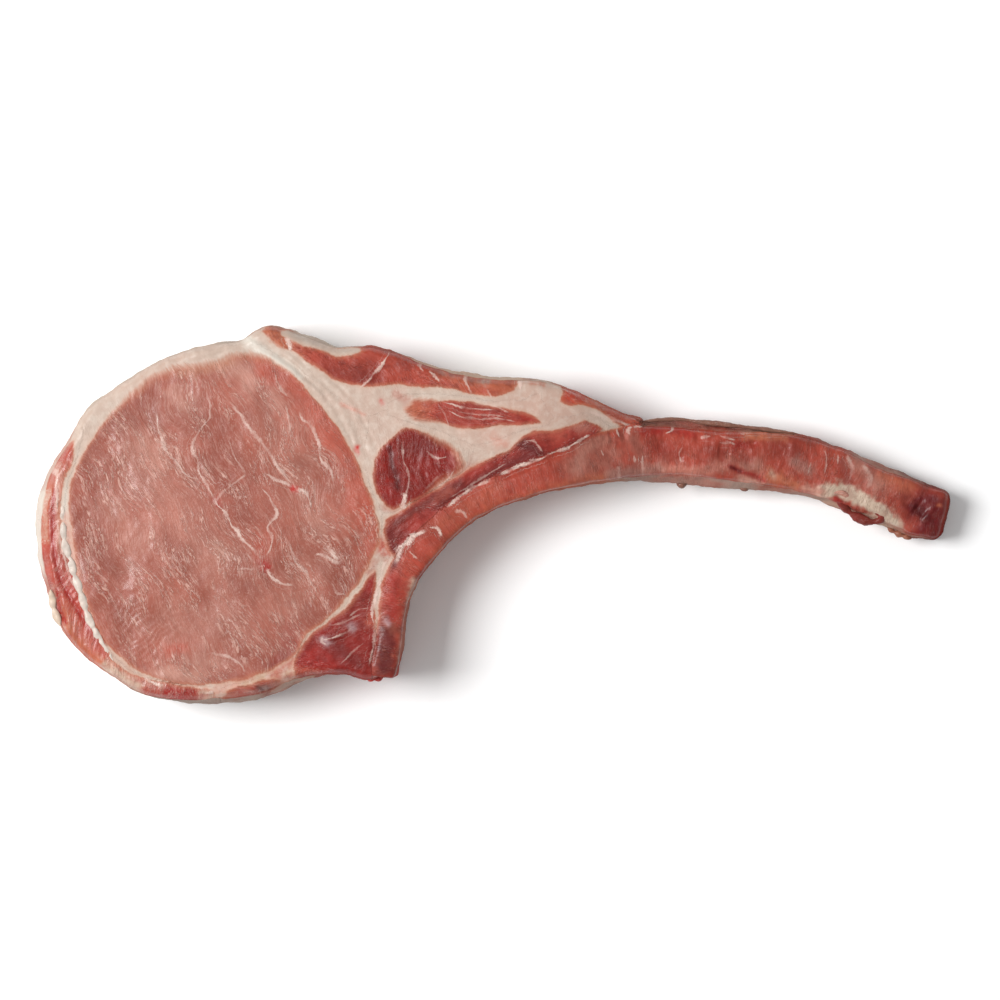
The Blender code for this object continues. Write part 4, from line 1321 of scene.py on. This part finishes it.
def fleshGroup():
    # the cut face: lean and fat on the two sides of the border, streaks partly painted as wet highlights,
    # painted glints, marbling lines and skin
    group, given, result = newGroup("cutFlesh", [
        ("Streak Colour", "NodeSocketColor", fleshTint("streak")),
        ("Streak Amount", "NodeSocketFloat", 0.6),
        ("Mottle", "NodeSocketFloat", 0.2),
        ("Mottle Colour", "NodeSocketColor", fleshTint("mottle")),
        ("Lean Roughness", "NodeSocketFloat", 0.4),
        ("Fat Roughness", "NodeSocketFloat", 0.5),
    ], [("Colour", "NodeSocketColor"), ("Roughness", "NodeSocketFloat"), ("Height", "NodeSocketFloat"),
        ("Gloss", "NodeSocketFloat")])
    grainMm = attribute(group, "grain", "Vector")
    place = addNode(group, "ShaderNodeTexCoord").outputs["Object"]
    placeMm = scaled(group, place, (1000, 1000, 1000))
    fringeMm, streakShare, glintShare = parts(group, attribute(group, "fringeStreakGlint", "Vector"))
    offsets = parts(group, attribute(group, "lineOffset", "Vector"))
    powers = parts(group, attribute(group, "linePower", "Vector"))
    borderMm = attribute(group, "border", "Fac")
    skin = attribute(group, "skin", "Fac")

    def fibreNoise(name):
        mark = fleshMarks[name]
        stretched = scaled(group, grainMm, mark["scale"])
        detail, rough, bent = mark.get("detail", 3), mark.get("rough", 0.5), mark.get("bent", 0.0)
        found = noiseOf(group, stretched, 1.0, detail, rough, bent)
        return between(group, found, *mark["range"])

    # the border is feathered along the fibres
    comb = noiseOf(group, scaled(group, grainMm, (0.3, 1.7, 0.5)), detail=2.0, roughness=0.6)
    crumbs = noiseOf(group, placeMm, scale=1.2, detail=2.0)
    feather = times(group, minus(group, comb, 0.5), times(group, fringeMm, 3.2))
    small = times(group, minus(group, crumbs, 0.5), 0.6)
    edge = plus(group, borderMm, plus(group, feather, small))
    soft = plus(group, 0.05, times(group, fringeMm, 2.2))
    isLean = between(group, edge, times(group, soft, -1.0), soft)

    # lean
    blotch = noiseOf(group, placeMm, scale=0.3, detail=3.0, roughness=0.65)
    leanColour = mixed(group, times(group, between(group, blotch, 0.44, 0.66), given["Mottle"]),
                       attribute(group, "leanTint", "Color"), given["Mottle Colour"])
    longStreaks, worms, patches, bands, paintedGlints = map(fibreNoise, fleshMarks)
    wormy = times(group, worms, plus(group, times(group, patches, 0.7), 0.25))
    longer = times(group, longStreaks, plus(group, times(group, patches, 0.55), 0.15))
    leanColour = mixed(group, bands, leanColour, scaled(group, leanColour, (0.78, 0.7, 0.66)))
    # the streaks are pale fibres, and partly painted wet highlights
    streaksAndSheen = times(group, calc(group, "MAXIMUM", longer, wormy), streakShare)
    streaksAndSheen = times(group, streaksAndSheen, given["Streak Amount"])
    leanColour = mixed(group, streaksAndSheen, leanColour, given["Streak Colour"])
    # painted highlights: tiny near-white glints on the wet lean
    inPatches = plus(group, times(group, patches, 0.45), 0.04)
    paintedGlints = times(group, times(group, paintedGlints, glintShare), inPatches)
    leanColour = mixed(group, paintedGlints, leanColour, fleshTint("glintHighlight"))
    tanWidth = plus(group, 0.8, times(group, fringeMm, 4.0))
    tan = times(group, between(group, edge, tanWidth, 0.0), 0.5)
    leanColour = mixed(group, tan, leanColour, fleshTint("tanEdge"))

    # fat
    pinkness = between(group, noiseOf(group, placeMm, scale=0.25, detail=4.0, roughness=0.6), 0.48, 0.72)
    fatTint = attribute(group, "fatTint", "Color")
    fatColour = mixed(group, times(group, pinkness, 0.4), fatTint, fleshTint("pinkFat"))
    curd = noiseOf(group, placeMm, scale=0.5, detail=3.0, roughness=0.6)
    fatColour = mixed(group, between(group, curd, 0.4, 0.7, 0.0, 0.3), fatColour, fleshTint("curd"))
    nearLean = times(group, between(group, edge, -1.0, 0.0), 0.35)
    fatColour = mixed(group, nearLean, fatColour, fleshTint("fatByLean"))
    colour = mixed(group, isLean, fatColour, leanColour)

    # lines of fat
    line = 0.0
    ravel = noiseOf(group, placeMm, scale=2.1, detail=2.0)
    for offset, power in zip(offsets, powers):
        frayed = plus(group, calc(group, "ABSOLUTE", offset), times(group, minus(group, ravel, 0.5), 2.4))
        line = calc(group, "MAXIMUM", line, times(group, between(group, frayed, 1.5, 0.3), power))
    colour = mixed(group, line, colour, fleshTint("marbling"))

    # skin and drying on the uncut sides
    patchy = noiseOf(group, scaled(group, placeMm, (0.16, 0.16, 0.22)), detail=5.0, roughness=0.6)
    skinMask = between(group, plus(group, patchy, skin), 0.8, 1.15)
    skinMask = times(group, skinMask, between(group, skin, 0.0, 0.15))
    drying = between(group, curd, 0.35, 0.7, 0.0, 0.2)
    skinTint = attribute(group, "skinTint", "Color")
    skinColour = mixed(group, drying, skinTint, fleshTint("drySkin"))
    colour = mixed(group, times(group, skinMask, 0.9), colour, skinColour)

    rough = plus(group, times(group, isLean, given["Lean Roughness"]),
                 times(group, minus(group, 1.0, isLean), given["Fat Roughness"]))
    rough = minus(group, rough, times(group, paintedGlints, 0.15))
    fine = noiseOf(group, placeMm, scale=1.6, detail=2.0)
    height = plus(group, times(group, wormy, 0.1), times(group, fine, 0.05))
    height = plus(group, height, times(group, longStreaks, 0.04))
    height = times(group, height, plus(group, 0.3, times(group, isLean, 0.7)))
    height = plus(group, height, times(group, curd, 0.08))
    height = plus(group, height, times(group, line, 0.08))
    rough = plus(group, rough, between(group, skin, 0.0, 0.3, 0.0, 0.3))
    gloss = between(group, skin, 0.0, 0.3, 1.0, 0.1)
    for title, socket in (("Colour", colour), ("Roughness", rough), ("Height", height), ("Gloss", gloss)):
        group.links.new(socket, result[title])
    return group


cutFlesh = fleshGroup()
looks = {
    "eye_lean": {"Streak Amount": 0.62, "Mottle": 0.2, "Lean Roughness": 0.4, "coat": 0.2},
    "pale_lean": {"Streak Amount": 0.6, "Mottle": 0.4, "Mottle Colour": rgba(176, 74, 64),
                  "Lean Roughness": 0.36, "coat": 0.2},
    "red_lean": {"Streak Amount": 0.4, "Mottle": 0.4, "Mottle Colour": rgba(116, 36, 32),
                 "Lean Roughness": 0.4, "coat": 0.08, "Streak Colour": rgba(200, 104, 88)},
    "rib_meat": {"Streak Amount": 0.45, "Mottle": 0.35, "Mottle Colour": rgba(136, 58, 46),
                 "Lean Roughness": 0.4, "coat": 0.12, "Streak Colour": rgba(200, 128, 102)},
    "fat": {"Streak Amount": 0.4, "Mottle": 0.2, "Fat Roughness": 0.46, "coat": 0.08},
}


def fleshMaterial(name, look):
    material = bpy.data.materials.new(name)
    material.use_nodes = True
    tree = material.node_tree
    shader = tree.nodes["Principled BSDF"]
    flesh = addNode(tree, "ShaderNodeGroup", node_tree=cutFlesh)
    for title, value in look.items():
        if title != "coat":
            flesh.inputs[title].default_value = value
    relief = {"Height": flesh.outputs["Height"], "Distance": mm, "Strength": 1.0}
    bump = addNode(tree, "ShaderNodeBump", relief)
    tree.links.new(flesh.outputs["Colour"], shader.inputs["Base Color"])
    tree.links.new(flesh.outputs["Roughness"], shader.inputs["Roughness"])
    tree.links.new(bump.outputs["Normal"], shader.inputs["Normal"])
    tree.links.new(times(tree, flesh.outputs["Gloss"], look["coat"]), shader.inputs["Coat Weight"])
    tree.links.new(times(tree, flesh.outputs["Gloss"], 0.28), shader.inputs["Specular IOR Level"])
    shader.inputs["Coat Roughness"].default_value = 0.15
    return material


materials = {name: fleshMaterial(name, look) for name, look in looks.items()}


def alongRim(values, reach):
    # rim values run together over this many mm, with the ones inside the rim left alone
    count = int(reach * 2.5 / surfaceSizes["spacing"])
    weights = np.exp(-((np.arange(-count, count + 1) * surfaceSizes["spacing"] / reach) ** 2))
    total = sum(w * np.roll(values[rim], k, 0) for k, w in zip(range(-count, count + 1), weights))
    softened = values.copy()
    softened[rim] = total / weights.sum()
    return softened


isSide = (shareDown > 0) & (shareDown < 1)
sidePlace = wholePoints * (1, 1, 0.7)
sideShare = isSide * ease(0, 0.2, shareDown)
# down the side the tissues drift along the rim, so that no upright stripe forms
drift = 7 * wobble(sidePlace[isSide], 13, 84, 3) * sideShare[isSide] / surfaceSizes["spacing"]
tintFrom = columnOf.copy()
tintFrom[isSide] = rim[(rimPlace[columnOf[isSide]] + np.round(drift).astype(int)) % len(rim)]
cover = skinShare.copy()
skinRows = [(node, row) for node, rows in skinDabs.items() for row in rows]
for node, (path, radius, _, strength) in skinRows:
    rows, share = dabShare(node, path, radius, strength)
    cover[rows] += 0.4 * share * np.clip(strength - 0.9, 0, 1)
cover = np.minimum(alongRim(cover, 1.5), 0.95)
skin = cover[tintFrom] * ease(0.02, 0.1, shareDown) * isSide
dryLean = 0.8 * leanTint + 0.2 * paint(*shades["greyPink"])
skinTint = np.where(border[:, None] < 0, paint(*shades["skin"]), dryLean)
skinTint = alongRim(dabbed(skinTint, skinRows, False), 4)[tintFrom]
skinTint[isSide] *= (1 + 0.1 * wobble(sidePlace[isSide], 9, 83, 3))[:, None]
# the uncut sides are darkened: painted shade against the key lamp's light on them, and their drier tone
shadedSideLean = 0.7 * alongRim(leanTint, 5) + 0.3 * paint(*shades["shadedSideLean"])
sideWander = np.zeros(len(wholePoints))
sideWander[isSide] = 2.6 * wobble(sidePlace[isSide], 8, 81, 3)
wholeBorder = alongRim(border, 2)[tintFrom] + sideWander * sideShare
wholeBorder[~isSide] = border[columnOf[~isSide]]
wholeLean = leanTint[tintFrom] + sideShare[:, None] * (shadedSideLean - leanTint)[tintFrom]
wholeLean[isSide] *= (1 + 0.16 * wobble(sidePlace[isSide], 6, 82, 3))[:, None]
wholeColumns = {
    "leanTint": ("FLOAT_COLOR", wholeLean),
    "border": ("FLOAT", wholeBorder),
    "grain": ("FLOAT_VECTOR", np.column_stack([grain[columnOf], wholePoints[:, 2]])),
    "skin": ("FLOAT", skin),
    "skinTint": ("FLOAT_COLOR", skinTint),
}
slots = {name: tissue["slot"] for name, tissue in tissues.items()}
for label, name in enumerate(nodeNames):
    smooth, walls = pieceFaces[label]
    faces = np.concatenate([smooth, walls])
    used, renumbered = np.unique(faces, return_inverse=True)
    mesh = newMesh(name + "_flesh", wholePoints[used], renumbered.reshape(-1, 3), len(smooth))
    cornerNormals = normals[faces.reshape(-1)]
    cornerNormals[len(smooth) * 3 :] = 0
    mesh.normals_split_custom_set(cornerNormals.tolist())
    for title, (kind, values) in columns.items():
        values = values[columnOf[used]]
        if title == "linePower":
            values = values * (1 - sideShare[used])[:, None]
        addAttribute(mesh, title, kind, values)
    for title, (kind, values) in wholeColumns.items():
        addAttribute(mesh, title, kind, values[used])
    mesh.materials.append(materials[slots[name]])
    piece = intoScene(name + "_flesh", mesh)
    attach(piece, "root")
    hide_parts(name)
    print(name, len(faces), "triangles")


# shreds and beads of fat and meat that stand out of the surface, made along paths
shreds = {  # thickness in mm, and rise as a share of the chop's height there
    "seamBeads": {
        "node": "side_muscle", "slot": "fat", "shade": "paleFat",
        "thickness": 1.25, "flatness": 0.35, "lobes": 9, "rise": 0.998,
        "path": [(-18.8, 19), (-18.8, 13.5), (-18.3, 8), (-17.3, 4.4), (-15.8, -0.6), (-13.6, -7),
                 (-11.6, -13), (-8.6, -18.7), (-5.1, -24.2)],
    },
    "leftFlap": {
        "node": "side_muscle", "slot": "fat", "shade": "cream",
        "thickness": 1.2, "flatness": 0.6, "lobes": 2, "rise": 0.98,
        "path": [(-22.2, -5), (-21.4, -10), (-19.6, -15)],
    },
    "leftLumps": {
        "node": "side_muscle", "slot": "pale_lean", "shade": "brownSkin",
        "thickness": 0.9, "flatness": 0.9, "lobes": 3, "rise": 0.66,
        "path": [(-23.4, 2.4), (-23.4, -4)],
    },
    "tipCurl": {
        "node": "rib", "slot": "rib_meat", "shade": "deepLean",
        "thickness": 1.4, "flatness": 0.8, "lobes": 3, "rise": 0.93,
        "path": [(162.5, -4.6), (163.5, -6), (166, -7.2), (169.5, -8.2), (173, -8.2), (175.4, -6.8),
                 (175, -5.2), (172, -5)],
    },
    "tipLoop": {
        "node": "rib", "slot": "rib_meat", "shade": "palePink",
        "thickness": 0.8, "flatness": 0.8, "lobes": 1, "rise": 0.98,
        "path": [(161, -6.4), (161.6, -4.4), (164.6, -3.8), (167.4, -5.2)],
    },
    "nubOne": {
        "node": "rib", "slot": "rib_meat", "shade": "brownSkin",
        "thickness": 1.1, "flatness": 0.9, "lobes": 1, "rise": 0.55,
        "path": [(115.6, -8.2), (117.5, -9), (119.4, -8.2)],
    },
    "nubTwo": {
        "node": "rib", "slot": "rib_meat", "shade": "brownSkin",
        "thickness": 1.0, "flatness": 0.9, "lobes": 1, "rise": 0.6,
        "path": [(132.8, -7.8), (134.6, -8.6), (136.4, -8)],
    },
    "tipNubs": {
        "node": "rib", "slot": "rib_meat", "shade": "tanSkin",
        "thickness": 1.0, "flatness": 0.9, "lobes": 3, "rise": 0.6,
        "path": [(179, -7.7), (182, -8.1), (185.6, -8.1)],
    },
    "upperFringe": {
        "node": "rib", "slot": "rib_meat", "shade": "brownSkin",
        "thickness": 0.8, "flatness": 1.2, "lobes": 3, "rise": 0.8,
        "path": [(104, 8), (114, 8.9), (120.5, 8.7), (134.5, 8.3), (148, 8.2)],
    },
    "chineLobe": {
        "node": "chine_muscle", "slot": "red_lean", "shade": "brightRed",
        "thickness": 1.2, "flatness": 0.8, "lobes": 2, "rise": 0.8,
        "path": [(7.4, -13.4), (10.4, -14), (12.8, -13.2)],
    },
}


def newShredTree():
    # a lobed, flattened and lumpy strip along a path, closed at both ends
    tree = bpy.data.node_groups.new("meatShred", "GeometryNodeTree")
    sizes = {"Thickness": 1.0, "Flatness": 0.8, "Lobes": 3.0, "Lobe Depth": 0.55, "Lumpiness": 0.5,
             "Lump Size": 2.2, "Seed": 1.0}
    kinds = {"Geometry": "NodeSocketGeometry", **dict.fromkeys(sizes, "NodeSocketFloat"),
             "Material": "NodeSocketMaterial"}
    keys = {}
    for title, kind in kinds.items():
        keys[title] = tree.interface.new_socket(title, in_out="INPUT", socket_type=kind)
        if title in sizes:
            keys[title].default_value = sizes[title]
    tree.interface.new_socket("Geometry", in_out="OUTPUT", socket_type="NodeSocketGeometry")
    given = tree.nodes.new("NodeGroupInput").outputs
    result = tree.nodes.new("NodeGroupOutput").inputs

    def step(kind, inputs, **settings):
        return addNode(tree, "GeometryNode" + kind, inputs, **settings).outputs[0]

    curve = step("MeshToCurve", {"Mesh": given["Geometry"]})
    spline = step("CurveSplineType", {"Curve": curve}, spline_type="CATMULL_ROM")
    even = step("ResampleCurve", {"Curve": spline, "Length": 0.3}, mode="LENGTH")
    upright = step("SetCurveNormal", {"Curve": even}, mode="Z_UP")
    share = addNode(tree, "GeometryNodeSplineParameter").outputs["Factor"]
    turn = times(tree, share, math.pi)
    taper = calc(tree, "POWER", calc(tree, "MAXIMUM", calc(tree, "SINE", turn), 0.02), 0.4)
    lobed = calc(tree, "ABSOLUTE", calc(tree, "SINE", times(tree, turn, given["Lobes"])))
    lobed = minus(tree, 1.0, times(tree, minus(tree, 1.0, lobed), given["Lobe Depth"]))
    radius = times(tree, times(tree, taper, lobed), given["Thickness"])
    circle = step("CurvePrimitiveCircle", {"Resolution": 12, "Radius": 1.0})
    flatter = addNode(tree, "ShaderNodeCombineXYZ", {"X": 1.0, "Y": given["Flatness"], "Z": 1.0}).outputs[0]
    profile = step("Transform", {"Geometry": circle, "Scale": flatter})
    sweep = {"Curve": upright, "Profile Curve": profile, "Scale": radius, "Fill Caps": True}
    strip = step("CurveToMesh", sweep)
    place = step("InputPosition", {})
    normal = step("InputNormal", {})
    lumpScale = calc(tree, "DIVIDE", 1.0, given["Lump Size"])
    lumpKeys = {"Vector": place, "W": given["Seed"], "Scale": lumpScale, "Detail": 2.0}
    lumps = addNode(tree, "ShaderNodeTexNoise", lumpKeys, noise_dimensions="4D").outputs[0]
    push = times(tree, minus(tree, lumps, 0.5), given["Lumpiness"])
    offset = addNode(tree, "ShaderNodeVectorMath", {0: normal, "Scale": push}, operation="SCALE").outputs[0]
    lumpy = step("SetPosition", {"Geometry": strip, "Offset": offset})
    smooth = step("SetShadeSmooth", {"Geometry": lumpy, "Shade Smooth": True})
    whole = step("RealizeInstances", {"Geometry": smooth})
    tree.links.new(step("SetMaterial", {"Geometry": whole, "Material": given["Material"]}), result[0])
    return tree, {title: socket.identifier for title, socket in keys.items()}


shredTree, shredKeys = newShredTree()


def buildShred(name, seed):
    look = shreds[name]
    route = placed(look["node"], look["path"])
    tops = [faceTop[((xy - point) ** 2).sum(1).argmin()] for point in route]
    line = bpy.data.meshes.new(name)
    line.from_pydata([(x, y, top * look["rise"]) for (x, y), top in zip(route.tolist(), tops)],
                     [(k, k + 1) for k in range(len(route) - 1)], [])
    piece = intoScene(name, line)
    modifier = piece.modifiers.new("shred", "NODES")
    modifier.node_group = shredTree
    given = {"Thickness": look["thickness"], "Flatness": look["flatness"], "Lobes": look["lobes"],
             "Lumpiness": look["thickness"] * 0.9, "Seed": seed * 3.7}
    for title, value in given.items():
        modifier[shredKeys[title]] = float(value)
    modifier[shredKeys["Material"]] = materials[look["slot"]]
    graph = bpy.context.evaluated_depsgraph_get()
    mesh = bpy.data.meshes.new_from_object(piece.evaluated_get(graph))
    piece.modifiers.clear()
    piece.data = mesh
    mesh.name = name
    points = np.clip(meshPoints(mesh), wholeLow + keepIn, wholeHigh - keepIn)
    movePoints(mesh, points)
    mesh.update()
    count = len(points)
    tint = np.tile(paint(*shades[look["shade"]]), (count, 1))
    tint *= (1 + 0.12 * wobble(points, 1.5, seed, 2))[:, None]
    slot = look["slot"]
    plain = {
        "border": ("FLOAT", np.full(count, -3.0 if slot == "fat" else 3.0)),
        # no feathering, some streaks, and painted glints at half strength
        "fringeStreakGlint": ("FLOAT_VECTOR", np.tile([0, 0.3, 0.5], (count, 1))),
        "lineOffset": ("FLOAT_VECTOR", np.full((count, 3), 5.0)),
        "linePower": ("FLOAT_VECTOR", np.zeros((count, 3))),
        "grain": ("FLOAT_VECTOR", points),
        "skin": ("FLOAT", np.zeros(count)),
    }
    for title in ("leanTint", "fatTint", "skinTint"):
        plain[title] = "FLOAT_COLOR", tint
    for title, (kind, values) in plain.items():
        addAttribute(mesh, title, kind, values)
    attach(piece, "root")
    return len(mesh.polygons)


shredFaces = [buildShred(name, seed) for seed, name in enumerate(shreds)]
print(len(shreds), "shreds,", sum(shredFaces), "faces")


stageSizes = {  # in metres, with the lens and sensor in mm
    "floorReach": 3.0,
    "floorDrop": 0.0001,
    "floorColour": (0.9, 0.9, 0.9, 1),
    "floorRoughness": 0.9,
    "cameraPlace": (0.075755, 0.004905, 1.2),
    "lens": 154.6,
    "sensor": 36,
}


def buildStage():
    floorMesh = bpy.data.meshes.new("floor")
    reach = stageSizes["floorReach"]
    floorMesh.from_pydata([(-reach, -reach, 0), (reach, -reach, 0), (reach, reach, 0), (-reach, reach, 0)],
                          [], [(0, 1, 2, 3)])
    floor = intoScene("floor", floorMesh)
    floor.location.z = -stageSizes["floorDrop"]
    material = bpy.data.materials.new("paleTable")
    material.use_nodes = True
    shader = material.node_tree.nodes["Principled BSDF"]
    shader.inputs["Base Color"].default_value = stageSizes["floorColour"]
    shader.inputs["Roughness"].default_value = stageSizes["floorRoughness"]
    shader.inputs["Specular IOR Level"].default_value = 0.0
    floorMesh.materials.append(material)

    lamp = bpy.data.lights.new("key", "AREA")
    lamp.shape = "RECTANGLE"
    lamp.size, lamp.size_y = lampSizes["keySize"]
    lamp.energy = lampSizes["keyPower"]
    key = intoScene("key", lamp)
    target = Vector((wholeLow + wholeHigh) / 2 * mm)
    angle, turn = math.radians(lampSizes["keyHeight"]), math.radians(lampSizes["keyTurn"])
    back = Vector((-math.cos(angle) * math.cos(turn), math.cos(angle) * math.sin(turn), math.sin(angle)))
    key.location = target + back * lampSizes["keyDistance"]
    key.rotation_euler = back.to_track_quat("Z", "X").to_euler()

    world = bpy.data.worlds.new("studio")
    world.use_nodes = True
    bpy.context.scene.world = world
    tree = world.node_tree
    sky = tree.nodes["Background"]
    sky.inputs["Color"].default_value = (1, 1, 1, 1)
    seen = addNode(tree, "ShaderNodeBackground", {"Color": (1, 1, 1, 1), "Strength": 1.0})
    rays = addNode(tree, "ShaderNodeLightPath")
    glossy = rays.outputs["Is Glossy Ray"]
    dimmer = minus(tree, 1.0, times(tree, glossy, 1 - lampSizes["skyGloss"]))
    tree.links.new(times(tree, dimmer, lampSizes["skyStrength"]), sky.inputs["Strength"])
    mix = addNode(tree, "ShaderNodeMixShader",
                  {0: rays.outputs["Is Camera Ray"], 1: sky.outputs[0], 2: seen.outputs[0]})
    tree.links.new(mix.outputs[0], tree.nodes["World Output"].inputs["Surface"])
    bpy.context.scene.view_settings.view_transform = "Standard"

    lens = bpy.data.cameras.new("camera")
    lens.sensor_width = stageSizes["sensor"]
    lens.lens = stageSizes["lens"]
    camera = intoScene("camera", lens)
    camera.location = stageSizes["cameraPlace"]
    bpy.context.scene.camera = camera


buildStage()
print("stage set")
